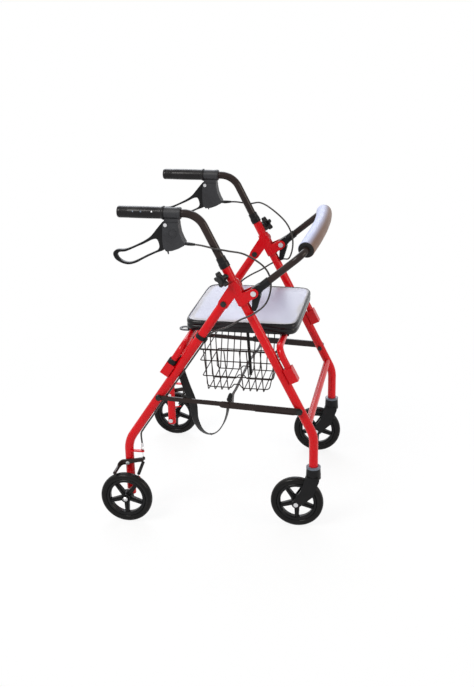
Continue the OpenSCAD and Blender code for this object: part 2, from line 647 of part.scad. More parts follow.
// back bow: steel tube in a plane sloping up and forward from the ear bolts
function on_bow(s, y) = xz(back_pin + s * bu, y);
bow_s = 172;
bow_top = 190;
bow_path = [on_bow(24, yl), on_bow(bow_s, yl), on_bow(bow_top, 0), on_bow(bow_s, -yl), on_bow(24, -yl)];
bow_bend = [0, 36, 2600, 36, 0];
module back_bow() color(black) bent_tube(bow_path, bow_bend, bow_r, bow_r - 1.5);
// foam between the bends, with stepped ends round the tube
foam_y = yl - 36;
foam_in = bow_r + 0.3;
foam_lean = atan((bow_top - bow_s) / yl);
foam_s = bow_s + (yl - foam_y) * tan(foam_lean);
foam_path = [on_bow(foam_s, foam_y), on_bow(bow_top, 0), on_bow(foam_s, -foam_y)];
module foam_end(k) translate(on_bow(foam_s, k * foam_y)) rotate([0, 90 - bow_slope,
  0]) rotate([k * (90 - foam_lean), 0, 0])
  rotate_extrude() polygon([[foam_in + 0.05, 0.5], [foam_r - 0.05, 0.5], [foam_r - 0.05, 0], [foam_r - 1,
    -2.4],
    [foam_r - 2.5, -4], [foam_in + 0.05, -4]]);
module back_foam() color(foam) {
  bent_tube(foam_path, [0, bow_bend[2], 0], foam_r, foam_in);
  foam_end(1);
  foam_end(-1);
}
tail = back_pin + [0.6, -44];
module back_clips() color(black) pair() difference() {
  union() {
    rod(on_bow(17, yl), on_bow(52, yl), bow_r + 2);
    slab(yl - 11.5, yl + 11.5) arm(back_pin, 13, back_pin + 19 * bu, 11.5);
    slab(yl - 10, yl + 10) arm(back_pin + [7, -9], 11, tail, 7);
  }
  rod(on_bow(24, yl), on_bow(80, yl), bow_r);
  ypin(back_pin, yl - 30, yl + 30, pin_r + run);
}

// seat: padded cushion on a board, hinged on the front bar
seat_x = 72;
seat_round = 0.19;
tab_x = rear_bar[0] - bar_r - 5.5;
tab_drop = 16;
function oval(a, b, n, e) = [for (i = [0 : n - 1]) let (t = 360 * i / n)
  [seat_x + a * sign(cos(t)) * pow(abs(cos(t)), e), b * sign(sin(t)) * pow(abs(sin(t)), e)]];
// inset from the outline and height, bottom ring to crown
pad_rings = [[5, 0], [1.2, 2.5], [0.6, 6], [1.6, 9.5], [0, 13.5], [0.5, 18], [2, 21.5], [5.5, 24], [20,
  25.4], [60, 27], [110, 28]];
module seat_cushion() color(vinyl) {
  n = 64;
  m = len(pad_rings);
  pts = concat([for (r = pad_rings) for (p = oval(seat_d / 2 - r[0], seat_w / 2 - r[0], n,
    seat_round)) [p[0], p[1], seat_z - cushion_t + r[1]]],
    [[seat_x, 0, seat_z - cushion_t], [seat_x, 0, seat_z - cushion_t + 28.4]]);
  polyhedron(pts, concat(
    [for (k = [0 : n - 1]) [m * n, k, (k + 1) % n]],
    [for (i = [0 : m - 2], k = [0 : n - 1]) [i * n + (k + 1) % n, i * n + k, (i + 1) * n + k,
      (i + 1) * n + (k + 1) % n]],
    [for (k = [0 : n - 1]) [m * n + 1, (m - 1) * n + (k + 1) % n, (m - 1) * n + k]]), convexity = 4);
}
module seat_board() color(black) translate([0, 0, board_z]) linear_extrude(board_t)
  polygon(oval(seat_d / 2 - 4, seat_w / 2 - 4, 64, seat_round));
module seat_clips() color(black) {
  pair() translate([front_bar[0], 0, 0]) difference() {
    union() {
      ypin([0, bar_z], 108, 132, bar_r + 3.2);
      translate([-14, 108, bar_z + 6]) cube([28, 24, board_z - bar_z - 6]);
    }
    ypin([0, bar_z], 100, 140, bar_r + run);
    translate([2, 100, bar_z - 30]) cube([20, 40, 27]);
  }
  // rest pads over the rear bar
  pair() translate([rear_bar[0] - 8, 50, board_z - pad_gap + 0.4]) cube([16, 22, pad_gap - 0.4]);
  // pull tab under the rear edge, stepped down behind the rear bar
  translate([tab_x, -132, board_z - 3]) cube([18, 34, 3]);
  translate([tab_x, -132, board_z - tab_drop]) cube([3, 34, tab_drop]);
  translate([0, 0, board_z - tab_drop]) linear_extrude(3) difference() {
    union() {
      translate([tab_x - 12, -132]) square([15, 34]);
      translate([tab_x - 12, -115]) circle(17);
    }
    translate([tab_x - 13, -115]) circle(9);
  }
}

// side braces: flat bars in two planes, riveted at the middle
link_dir = (mid_pin - front_pin) / norm(mid_pin - front_pin);
function link_frame(a, b) = atan2((b - a)[1], (b - a)[0]);
module front_link() difference() {
  union() {
    slab(yl + link_y1, yl + link_y1 + link_t) arm(front_pin, 10, mid_pin + 14 * link_dir, 9.5);
    // rolled edges of the outer half
    translate(xz(front_pin, 0)) rotate([0, -link_frame(front_pin, mid_pin), 0]) for (k = [-1, 1])
      translate([12, yl + link_y1 + link_t - 0.5, k * 8.5 - 1.5]) cube([110, 2.5, 3]);
    // rivet head and strap eye
    ypin(mid_pin, yl + link_y1 + link_t - 0.5, yl + link_y1 + link_t + 2.4, 7);
    translate(xz(mid_pin + [6, 17], yl + link_y1 + link_t / 2)) rotate([90, 0, 0]) rotate_extrude()
      translate([6.5, 0]) circle(1.3);
  }
  ypin(front_pin, yl, yl + 40, pin_r + run);
}
module rear_link() slab(yl + link_y0, yl + link_y0 + link_t) difference() {
  union() {
    arm(rear_pin, 6.6, mid_pin, 6.6);
    translate(rear_pin) circle(9);
    translate(mid_pin) circle(8);
  }
  translate(rear_pin) circle(pin_r + run);
  translate(mid_pin) circle(4.5);
}
module front_link_l() color(black) front_link();
module front_link_r() color(black) side(-1) front_link();
module rear_link_l() color(black) rear_link();
module rear_link_r() color(black) side(-1) rear_link();

// wire basket: rim, two bands, eight cross wires, three long wires with a groove for the strap, hooks
cross_x = [for (i = [0 : 3]) groove_x - 22.5 - 20 * (3 - i), for (i = [0 : 3]) groove_x + 22.5 + 20 * i];
function wall_at(t) = [bx[0] + (fx[0] - bx[0]) * t, bx[1] + (fx[1] - bx[1]) * t, by + (fy - by) * t,
  rim_z - basket_h * t];
module hoop(t, r, out) {
  w = wall_at(t);
  c = 6;
  x0 = w[0] - out; x1 = w[1] + out; y1 = w[2] + out;
  for (k = [-1, 1]) {
    rod([x0 + c - reach, k * y1, w[3]], [x1 - c + reach, k * y1, w[3]], r);
    rod([k > 0 ? x1 : x0, c - reach - y1, w[3]], [k > 0 ? x1 : x0, y1 - c + reach, w[3]], r);
  }
  for (q = [[x1 - c, y1 - c, 0], [x0 + c, y1 - c, 90], [x0 + c, c - y1, 180], [x1 - c, c - y1, 270]])
    translate([q[0], q[1], w[3]]) rotate([0, 0, q[2]]) rotate_extrude(angle = 90) translate([c,
      0]) circle(r + fuller);
}
lap = 0.4;
module basket() color(black) {
  hoop(0, rim_r, 0);
  hoop(0.26, wire_r, wire_d - lap);
  hoop(0.64, wire_r, wire_d - lap);
  for (x = cross_x) bent_rod([[x, -by, rim_z], [x, -fy, floor_z], [x, fy, floor_z], [x, by, rim_z]], [0,
    12, 12, 0], wire_r);
  for (y = [-72, 0, 72]) bent_rod([[bx[0], y, rim_z], [fx[0], y, floor_z + wire_d - lap],
    [groove_x - 17, y, floor_z + wire_d - lap], [groove_x - 8, y, floor_z + 14], [groove_x + 8, y,
      floor_z + 14],
    [groove_x + 17, y, floor_z + wire_d - lap], [fx[1], y, floor_z + wire_d - lap], [bx[1], y, rim_z]],
    [0, 12, 5, 5, 5, 5, 12, 0], wire_r);
  // hooks over the front bar and, open to the front, over the rear bar
  hr1 = bar_r + hook_r + 0.3;
  for (y = [-84, 84]) {
    bent_rod([[bx[1], y, rim_z], [front_bar[0] - hr1, y, rim_z + 12], [front_bar[0] - hr1, y,
      bar_z + reach]], [0, 8, 0], hook_r);
    translate([front_bar[0], y, bar_z]) rotate([90, 0, 0]) rotate_extrude(angle = 180) translate([hr1,
      0]) circle(hook_r + fuller);
    bent_rod([[bx[0], y, rim_z], [rear_bar[0] - hr1, y, rim_z], [rear_bar[0] - hr1, y, bar_z + reach]],
      [0, 10, 0], hook_r);
    translate([rear_bar[0], y, bar_z]) rotate([90, 0, 0]) rotate([0, 0,
      62]) rotate_extrude(angle = 118) translate([hr1, 0]) circle(hook_r + fuller);
  }
}

// brake cables, from the housing port to the cable stop; the left one is routed like the right
cable_rad = cable_d / 2;
cable_pts = [[gx - 49.4, yl, grip_z - 83], [gx - 16, yl + 7, grip_z - 83.5],
  [26, yl + hr + 3.6, 820], [66, yl + 12, 810], [106, yl + 3, 796],
  [142, yl - 18, 770], [163, yl - 30, 738], [166, yl - 30, 700], [152, yl - 8, 668], [126, yl + 20, 644],
    [92, yl + 24, 628],
  [58, yl + 23, 606], [27, yl + 13, 591]];
rear_run = [for (h = [424, 402, 380, 330, 260, 200, 150, 100, 60])
  rear_corner + h * ru - (tr + cable_rad + 0.8) * rn];
stop_pt = [rear_x + 42, yl + 7, tab_z + 4.2];
cable_all = concat(cable_pts, [for (p = rear_run) xz(p, yl + 3)],
  [[rear_x + 40, yl + 6, 258], [stop_pt[0], stop_pt[1], tab_z + 22], stop_pt]);
module cable() sweep(smooth(cable_all, 3), [0, 1, 0], cable_rad, cable_rad, 8);
module cable_l() color(black) cable();
module cable_r() color(black) side(-1) cable();

// straps
eye_y = yl + link_y1 + link_t / 2;
lift_half = [[mid_pin[0] + 6, eye_y - 4, mid_pin[1] + 11], [58, eye_y - 22, mid_pin[1] - 8], [54,
  yl - 30, floor_z + 16],
  [groove_x, fy + 42, floor_z + 7], [groove_x, fy, floor_z + 5], [groove_x, 40, floor_z + 5]];
lift_all = concat(lift_half, [for (i = [len(lift_half) - 1 : -1 : 0]) [lift_half[i][0], -lift_half[i][1],
  lift_half[i][2]]]);
module lift_strap() color(black) sweep(smooth(lift_all, 3), [1, 0, 0], strap_w / 2, 1.1, 4);
// pull strap from the seat board to a floor wire of the basket
pull_x = groove_x + 22.5;
pull_pts = [[pull_x, 34, floor_z + wire_r + 0.3], [pull_x - 1, 33, floor_z + 40], [pull_x - 5, 29,
  floor_z + 120],
  [pull_x - 9, 25, board_z - 0.3]];
module pull_strap() color(black) sweep(smooth(pull_pts, 4), [1, 0, 0], 4.5, 1.1, 4);
hold_pts = [[-99, 22 - yl, 499], [-92, 20 - yl, 462], [-76, 18 - yl, 410], [-57, 16 - yl, 356], [-52,
  16 - yl, 310],
  [-36, 16 - yl, 275], [-12, 16 - yl, 262], [12, 16 - yl, 272], [32, 14 - yl, 302], [44, 8 - yl, 338],
    [mid_pin[0] - 2, 2 - yl, mid_pin[1] - 6]];
module hold_strap() color(black) sweep(smooth(hold_pts, 3), [1, 0, 0], hold_w / 2, 1.1, 4, 80);

front_legs();
seat_bar_front();
brackets();
leg_sleeves();
pivot_bolts();
back_bolts();
front_brace_bolts();
rear_legs();
seat_bar_rear();
socket_rings();
rear_axles();
brake_pins();
rear_brace_bolts();
cable_ties();
hub_rl();
hub_rr();
hub_fl();
hub_fr();
tyre_rl();
tyre_rr();
tyre_fl();
tyre_fr();
fork_l();
fork_r();
collar_ring_l();
collar_ring_r();
caster_axle_l();
caster_axle_r();
handle_tube_l();
handle_tube_r();
grip_l();
grip_r();
brake_housing_l();
brake_housing_r();
lever_bolt_l();
lever_bolt_r();
lever_l();
lever_r();
knob_l();
knob_r();
brake_arm_l();
brake_arm_r();
brake_spring_l();
brake_spring_r();
back_bow();
back_foam();
back_clips();
seat_cushion();
seat_board();
seat_clips();
front_link_l();
front_link_r();
rear_link_l();
rear_link_r();
basket();
cable_l();
cable_r();
lift_strap();
hold_strap();
pull_strap();
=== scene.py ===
"""Folding four-wheel walker: camera, light, cables, straps, padding, tyres, grips and finishes on
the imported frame. Metres throughout. X points forward, Y to the user's left, Z up, and the wheels
stand on Z = 0."""
import bpy
import numpy as np
from mathutils import Matrix


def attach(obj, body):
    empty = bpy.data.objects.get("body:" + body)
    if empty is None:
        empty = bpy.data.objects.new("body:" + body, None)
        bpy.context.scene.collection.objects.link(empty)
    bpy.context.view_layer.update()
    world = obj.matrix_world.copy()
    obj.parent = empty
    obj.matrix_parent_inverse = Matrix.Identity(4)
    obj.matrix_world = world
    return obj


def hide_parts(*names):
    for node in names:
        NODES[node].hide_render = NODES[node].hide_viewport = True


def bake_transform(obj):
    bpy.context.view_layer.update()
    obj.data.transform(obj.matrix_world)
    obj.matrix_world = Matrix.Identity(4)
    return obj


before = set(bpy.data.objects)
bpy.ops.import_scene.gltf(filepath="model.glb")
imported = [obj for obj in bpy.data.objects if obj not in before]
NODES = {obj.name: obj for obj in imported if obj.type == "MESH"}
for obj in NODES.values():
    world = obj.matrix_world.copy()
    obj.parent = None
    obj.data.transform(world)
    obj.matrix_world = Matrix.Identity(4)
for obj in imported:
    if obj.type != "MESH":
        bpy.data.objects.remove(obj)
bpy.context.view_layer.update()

SIDES = (("l", 1.0), ("r", -1.0))

# places and sizes repeated from the part's source; places with two numbers are X and Z
LEG_Y = 0.242               # planes of the legs, left and right of the middle
TUBE_R = 0.0127             # legs
WHEEL_R = 0.076
FRONT_AXLE_X = 0.243
REAR_WHEEL_OUT = 0.051      # rear wheels outside the plane of the legs
GRIP_Z = 0.9095             # axis of the grips
REAR_X = -0.248             # upright lower end of the rear legs
REAR_CORNER = np.array([REAR_X, 0.232])     # its bend
REAR_SLOPE = np.radians(33.92)
RU = np.array([np.sin(REAR_SLOPE), np.cos(REAR_SLOPE)])     # up along the rear leg
RN = np.array([-np.cos(REAR_SLOPE), np.sin(REAR_SLOPE)])    # across it, backwards
CABLE_STOP = np.array([REAR_X + 0.042, LEG_Y + 0.007, 0.206])
BACK_PIN = np.array([0.12698, 0.70003])     # hinge of the back bow
BOW_SLOPE = np.radians(39.7)
MID_PIN = np.array([0.0498, 0.37202])       # middle joint of the side braces
SEAT_MID = np.array([0.072, 0.0])           # middle of the seat, as X and Y
SEAT_LOW = 0.5555           # underside of the cushion
BOARD_Z = 0.554             # underside of the seat board, where the pull strap ends
STRAP_X = 0.040             # lift strap under the basket
BASKET_FLOOR = 0.340
CATCH_Y = 0.0096            # catch tab outside the plane of the legs

# sizes of the soft pieces
CABLE_R = 0.0025
CABLE_OFF_LEG = 0.0008      # gap from the rear leg
KNOB_LIFT = 0.014           # how far the left cable's loop rises over its knob
WEB_HALF = 0.0011           # half the thickness of the webbing
SPAN = 10                   # points of a curve from one knot to the next


# paths and surfaces

def unit(v):
    """Vectors over their own length."""
    v = np.asarray(v, float)
    return v / np.linalg.norm(v, axis=-1, keepdims=True)


def through(knots, k):
    """Curve through knots: between b and c, with neighbours a and d, at k values of t in a span,
    (2b + t(c - a) + t^2(2a - 5b + 4c - d) + t^3(3b - a - 3c + d)) / 2."""
    q = np.asarray(knots, float)
    p = np.vstack([q[:1], q, q[-1:]])
    t = (np.arange(k) / k)[None, :, None]
    a, b, c, d = (p[i:len(q) - 1 + i][:, None] for i in range(4))
    s = (2 * b + t * (c - a) + t * t * (2 * a - 5 * b + 4 * c - d)
         + t ** 3 * (3 * b - a - 3 * c + d)) / 2
    return np.vstack([s.reshape(-1, 3), q[-1:]])


def rounded(corners, radii, step):
    """Straight runs joined by arcs: at a corner the arc of radius r starts r tan(turn / 2) before
    it and turns about the centre on the inner side."""
    q = np.asarray(corners, float)
    out = [q[:1]]
    for i in range(1, len(q) - 1):
        u, w = unit(q[i] - q[i - 1]), unit(q[i + 1] - q[i])
        turn = np.arccos(np.clip(u @ w, -1, 1))
        n = unit(w - (u @ w) * u)
        c = q[i] - radii[i] * np.tan(turn / 2) * u + radii[i] * n
        g = np.linspace(0, turn, max(3, int(radii[i] * turn / step)))[:, None]
        out.append(c + radii[i] * (np.sin(g) * u - np.cos(g) * n))
    return spaced(np.vstack(out + [q[-1:]]), step)


def spaced(p, step):
    """The same line with its points one step apart, by its arc length."""
    s = arc_length(p)
    g = np.linspace(0, s[-1], max(4, int(round(s[-1] / step)) + 1))
    return np.stack([np.interp(g, s, p[:, k]) for k in range(3)], 1)


def arc_length(p):
    """Running sum of the distances between neighbours."""
    return np.concatenate([[0], np.cumsum(np.linalg.norm(np.diff(p, axis=0), axis=1))])


def carried(outline, path, ref, swell=1.0, twist=0.0, closed=False):
    """Outline (x, y) carried along a path: point = path + x s + y (t x s), with t along the path
    and s the reference direction less its part along t; swell scales it and twist turns it, point
    by point."""
    path = np.asarray(path, float)
    if closed:
        t = unit(np.roll(path, -1, 0) - np.roll(path, 1, 0))
    else:
        t = unit(np.gradient(path, axis=0))
    ref = np.broadcast_to(np.asarray(ref, float), path.shape)
    s = unit(ref - np.sum(ref * t, 1, keepdims=True) * t)
    b = np.cross(t, s)
    m = len(path)
    g = np.broadcast_to(twist, m)[:, None]
    k = np.broadcast_to(swell, m)[:, None]
    x = k * (outline[:, 0] * np.cos(g) - outline[:, 1] * np.sin(g))
    y = k * (outline[:, 0] * np.sin(g) + outline[:, 1] * np.cos(g))
    return path[:, None] + x[..., None] * s[:, None] + y[..., None] * b[:, None]


def circle(r, n):
    """Points r (cos a, sin a) at n even angles."""
    a = 2 * np.pi * np.arange(n) / n
    return r * np.stack([np.cos(a), np.sin(a)], 1)


def flat_oval(half_w, half_t, n=16, power=0.35):
    """Rounded strip: half widths times the signed power of cosine and sine, so that edges stay
    soft."""
    a = 2 * np.pi * (np.arange(n) + 0.5) / n
    c, s = np.cos(a), np.sin(a)
    return np.stack([half_w * np.sign(c) * np.abs(c) ** power,
                     half_t * np.sign(s) * np.abs(s) ** power], 1)


def skin(name, grid, finishes, closed=False, ends=(None, None), bands=None):
    """Mesh over a grid of rings: each ring closes on itself, and rings join by quads whose outside
    is the side that (round the ring) x (along the rings) points to. Open ends close in a fan to
    their centre, or to the point given. UV holds metres round the ring and along the rings. bands
    gives a finish number for each run of quads."""
    m, n = grid.shape[:2]
    i = np.arange(m if closed else m - 1)[:, None]
    j = np.arange(n)[None, :]
    a, b = i * n + j, i * n + (j + 1) % n
    up = (i + 1) % m * n
    quads = np.stack([a, b, up + (j + 1) % n, up + j], -1).reshape(-1, 4)
    verts = grid.reshape(-1, 3)
    faces = quads.tolist()
    if not closed:
        tips = [ring.mean(0) if end is None else end for ring, end in zip(grid[[0, -1]], ends)]
        verts = np.vstack([verts, tips])
        k = np.arange(n)
        faces += np.stack([np.full(n, m * n), (k + 1) % n, k], 1).tolist()
        last = (m - 1) * n
        faces += np.stack([np.full(n, m * n + 1), last + k, last + (k + 1) % n], 1).tolist()
    mesh = bpy.data.meshes.new(name)
    mesh.from_pydata(verts.tolist(), [], faces)
    round_m = np.linalg.norm(np.roll(grid, -1, 1) - grid, axis=2).sum(1).mean() / n
    mid = grid.mean(1)
    along = arc_length(np.vstack([mid, mid[:1]]) if closed else mid)
    if along[-1] <= 1e-3:
        # rings about one centre have no line to measure, so they count as 4 mm apart
        along = np.arange(len(along)) * 0.004
    ju, iu = np.broadcast_arrays(j, i)
    lo, hi = ju * round_m, (ju + 1) * round_m
    va, vb = along[iu], along[iu + 1]
    corners = ((lo, va), (hi, va), (hi, vb), (lo, vb))
    uv = np.stack([np.stack(c, -1) for c in corners], 2)
    flat = np.zeros((sum(map(len, faces)), 2))
    flat[:uv.size // 2] = uv.reshape(-1, 2)
    mesh.uv_layers.new(name="cut").data.foreach_set("uv", flat.astype(np.float32).ravel())
    mesh.polygons.foreach_set("use_smooth", np.ones(len(faces), bool))
    finishes = finishes if isinstance(finishes, (list, tuple)) else [finishes]
    for f in finishes:
        mesh.materials.append(f)
    if bands is not None:
        index = np.zeros(len(faces), np.int32)
        index[:len(quads)] = np.repeat(bands, n)
        if not closed:
            index[len(quads):len(quads) + n] = bands[0]
            index[len(quads) + n:] = bands[-1]
        mesh.polygons.foreach_set("material_index", index)
    mesh.update()
    piece = bpy.data.objects.new(name, mesh)
    bpy.context.scene.collection.objects.link(piece)
    return piece


def turned(profile, centre, axis, n):
    """Grid of a profile (radius, along) turned about an axis in n steps:
    centre + along axis + radius (cos a e + sin a f)."""
    axis = unit(axis)
    e = unit(np.cross(axis, [0.3, 0.2, 0.9]))
    f = np.cross(axis, e)
    a = 2 * np.pi * np.arange(n) / n
    ring = np.cos(a)[:, None] * e + np.sin(a)[:, None] * f
    profile = np.asarray(profile, float)
    radius, along = profile[:, 0, None, None], profile[:, 1, None, None]
    return np.asarray(centre, float) + along * axis + radius * ring


# shared shader effects

def effect(name, inputs, outputs):
    """Empty node group with named sockets; returns the tree, its input node and its output node."""
    tree = bpy.data.node_groups.new(name, "ShaderNodeTree")
    for label, kind, value in inputs:
        s = tree.interface.new_socket(name=label, in_out="INPUT", socket_type="NodeSocket" + kind)
        s.default_value = value
    for label, kind in outputs:
        tree.interface.new_socket(name=label, in_out="OUTPUT", socket_type="NodeSocket" + kind)
    return tree, tree.nodes.new("NodeGroupInput"), tree.nodes.new("NodeGroupOutput")


def math(tree, op, a, b=None, clamp=False):
    """One Math node; a and b are sockets or numbers."""
    n = tree.nodes.new("ShaderNodeMath")
    n.operation = op
    n.use_clamp = clamp
    for k, v in enumerate((a, b)):
        if v is None:
            continue
        if isinstance(v, (int, float)):
            n.inputs[k].default_value = v
        else:
            tree.links.new(v, n.inputs[k])
    return n.outputs[0]


def weighted(tree, a, share_a, b, share_b):
    """Sum of two sockets by their shares."""
    return math(tree, "ADD", math(tree, "MULTIPLY", a, share_a), math(tree, "MULTIPLY", b, share_b))


def noise(tree, coord, scale, detail):
    """Noise value on a coordinate; scale is a number or a socket."""
    n = tree.nodes.new("ShaderNodeTexNoise")
    n.inputs["Detail"].default_value = detail
    n.inputs["Roughness"].default_value = 0.55
    tree.links.new(coord, n.inputs["Vector"])
    if isinstance(scale, (int, float)):
        n.inputs["Scale"].default_value = scale
    else:
        tree.links.new(scale, n.inputs["Scale"])
    return n.outputs[0]


def spread(tree, value, low, high):
    """Value mapped from low..high to 0..1 and held there."""
    n = tree.nodes.new("ShaderNodeMapRange")
    n.inputs["From Min"].default_value = low
    n.inputs["From Max"].default_value = high
    tree.links.new(value, n.inputs["Value"])
    return n.outputs[0]


def mixed(tree, amount, a, b):
    """Colour between a and b by amount; each is a socket or a colour."""
    n = tree.nodes.new("ShaderNodeMix")
    n.data_type = "RGBA"
    for socket, v in ((n.inputs[0], amount), (n.inputs[6], a), (n.inputs[7], b)):
        if isinstance(v, (int, float)):
            socket.default_value = v
        elif isinstance(v, tuple):
            socket.default_value = (*v, 1.0)
        else:
            tree.links.new(v, socket)
    return n.outputs[2]


def make_mottle():
    """Uneven colour: broad noise leans the base towards a second shade, and a finer one adds
    flecks."""
    tree, i, o = effect("mottle", [("Base", "Color", (0.5, 0.5, 0.5, 1)),
                                   ("Shade", "Color", (0.4, 0.4, 0.4, 1)), ("Scale", "Float", 12.0),
                                   ("Amount", "Float", 0.5)], [("Color", "Color")])
    at = tree.nodes.new("ShaderNodeTexCoord").outputs["Object"]
    broad = spread(tree, noise(tree, at, i.outputs["Scale"], 4), 0.38, 0.66)
    fleck = math(tree, "MULTIPLY", i.outputs["Scale"], 14.0)
    fine = spread(tree, noise(tree, at, fleck, 2), 0.3, 0.75)
    mask = weighted(tree, broad, 0.75, fine, 0.25)
    lean = math(tree, "MULTIPLY", mask, i.outputs["Amount"])
    tree.links.new(mixed(tree, lean, i.outputs["Base"], i.outputs["Shade"]), o.inputs["Color"])
    return tree


def make_settled_dust():
    """Dust mask: grows where the surface faces up, broken by noise."""
    tree, i, o = effect("settled_dust", [("Scale", "Float", 30.0), ("Amount", "Float", 0.3)],
                        [("Mask", "Float")])
    at = tree.nodes.new("ShaderNodeTexCoord").outputs["Object"]
    up = tree.nodes.new("ShaderNodeSeparateXYZ")
    tree.links.new(tree.nodes.new("ShaderNodeNewGeometry").outputs["Normal"], up.inputs[0])
    facing = spread(tree, up.outputs[2], 0.25, 1.0)
    patch = spread(tree, noise(tree, at, i.outputs["Scale"], 5), 0.42, 0.72)
    dust = math(tree, "MULTIPLY", facing, patch)
    tree.links.new(math(tree, "MULTIPLY", dust, i.outputs["Amount"]), o.inputs["Mask"])
    return tree


def make_painted_reflection():
    """Painted reflection mask: grows as the surface turns towards one direction of the object,
    broken by noise, so that side takes a painted sky reflection."""
    tree, i, o = effect("painted_reflection", [("Towards", "Vector", (0, 0, 1)), ("Low", "Float", 0.0),
                                       ("High", "Float", 1.0)], [("Mask", "Float")])
    at = tree.nodes.new("ShaderNodeTexCoord").outputs
    turn = tree.nodes.new("ShaderNodeVectorMath")
    turn.operation = "DOT_PRODUCT"
    tree.links.new(at["Normal"], turn.inputs[0])
    tree.links.new(i.outputs["Towards"], turn.inputs[1])
    r = tree.nodes.new("ShaderNodeMapRange")
    r.interpolation_type = "SMOOTHSTEP"
    tree.links.new(turn.outputs["Value"], r.inputs["Value"])
    tree.links.new(i.outputs["Low"], r.inputs["From Min"])
    tree.links.new(i.outputs["High"], r.inputs["From Max"])
    patch = math(tree, "ADD", math(tree, "MULTIPLY", noise(tree, at["Object"], 9.0, 4), 0.5), 0.72)
    tree.links.new(math(tree, "MULTIPLY", r.outputs[0], patch, clamp=True), o.inputs["Mask"])
    return tree


def make_rubbed():
    """Roughness that drifts about its base: fine streaks drawn out along Z plus a broad patch."""
    tree, i, o = effect("rubbed", [("Base", "Float", 0.4), ("Drift", "Float", 0.15),
                                   ("Scale", "Float", 40.0)], [("Roughness", "Float")])
    at = tree.nodes.new("ShaderNodeTexCoord").outputs["Object"]
    long = tree.nodes.new("ShaderNodeMapping")
    long.inputs["Scale"].default_value = (1.0, 1.0, 0.25)
    tree.links.new(at, long.inputs["Vector"])
    streak = noise(tree, long.outputs[0], math(tree, "MULTIPLY", i.outputs["Scale"], 8.0), 4)
    patch = noise(tree, at, i.outputs["Scale"], 3)
    both = weighted(tree, streak, 0.45, patch, 0.55)
    reach = math(tree, "MULTIPLY", i.outputs["Drift"], 2.0)
    off = math(tree, "MULTIPLY", math(tree, "SUBTRACT", both, 0.5), reach)
    tree.links.new(math(tree, "ADD", i.outputs["Base"], off, clamp=True), o.inputs["Roughness"])
    return tree


def make_moulded_grain():
    """Height of a moulded or sprayed skin: small cells over fine noise."""
    tree, i, o = effect("moulded_grain", [("Scale", "Float", 900.0), ("Cells", "Float", 0.5)],
                        [("Height", "Float")])
    at = tree.nodes.new("ShaderNodeTexCoord").outputs["Object"]
    cells = tree.nodes.new("ShaderNodeTexVoronoi")
    tree.links.new(at, cells.inputs["Vector"])
    tree.links.new(i.outputs["Scale"], cells.inputs["Scale"])
    fine = noise(tree, at, i.outputs["Scale"], 3)
    c = math(tree, "MULTIPLY", cells.outputs["Distance"], i.outputs["Cells"])
    f = math(tree, "MULTIPLY", fine, math(tree, "SUBTRACT", 1.0, i.outputs["Cells"]))
    tree.links.new(math(tree, "ADD", c, f), o.inputs["Height"])
    return tree


def make_ribbed_weave():
    """Webbing: threads across and along the strap, from its own UV in metres, as sine ribs that
    step aside by turns. Across and Along count the threads in a metre."""
    tree, i, o = effect("ribbed_weave", [("Across", "Float", 900.0), ("Along", "Float", 700.0)],
                        [("Height", "Float"), ("Gap", "Float")])
    uv = tree.nodes.new("ShaderNodeSeparateXYZ")
    tree.links.new(tree.nodes.new("ShaderNodeTexCoord").outputs["UV"], uv.inputs[0])
    full_turn = 6.28318
    across = math(tree, "MULTIPLY", i.outputs["Across"], full_turn)
    along = math(tree, "MULTIPLY", i.outputs["Along"], full_turn)
    weft = math(tree, "SINE", math(tree, "MULTIPLY", uv.outputs[1], along))
    aside = math(tree, "MULTIPLY", weft, 1.4)
    warp = math(tree, "MULTIPLY", uv.outputs[0], across)
    warp = math(tree, "SINE", math(tree, "ADD", warp, aside))
    h = math(tree, "ADD", weighted(tree, warp, 0.35, weft, 0.15), 0.5, clamp=True)
    tree.links.new(h, o.inputs["Height"])
    tree.links.new(math(tree, "SUBTRACT", 1.0, h, clamp=True), o.inputs["Gap"])
    return tree


EFFECTS = {g.name: g for g in (make_mottle(), make_settled_dust(), make_painted_reflection(), make_rubbed(),
                               make_moulded_grain(), make_ribbed_weave())}


# finishes

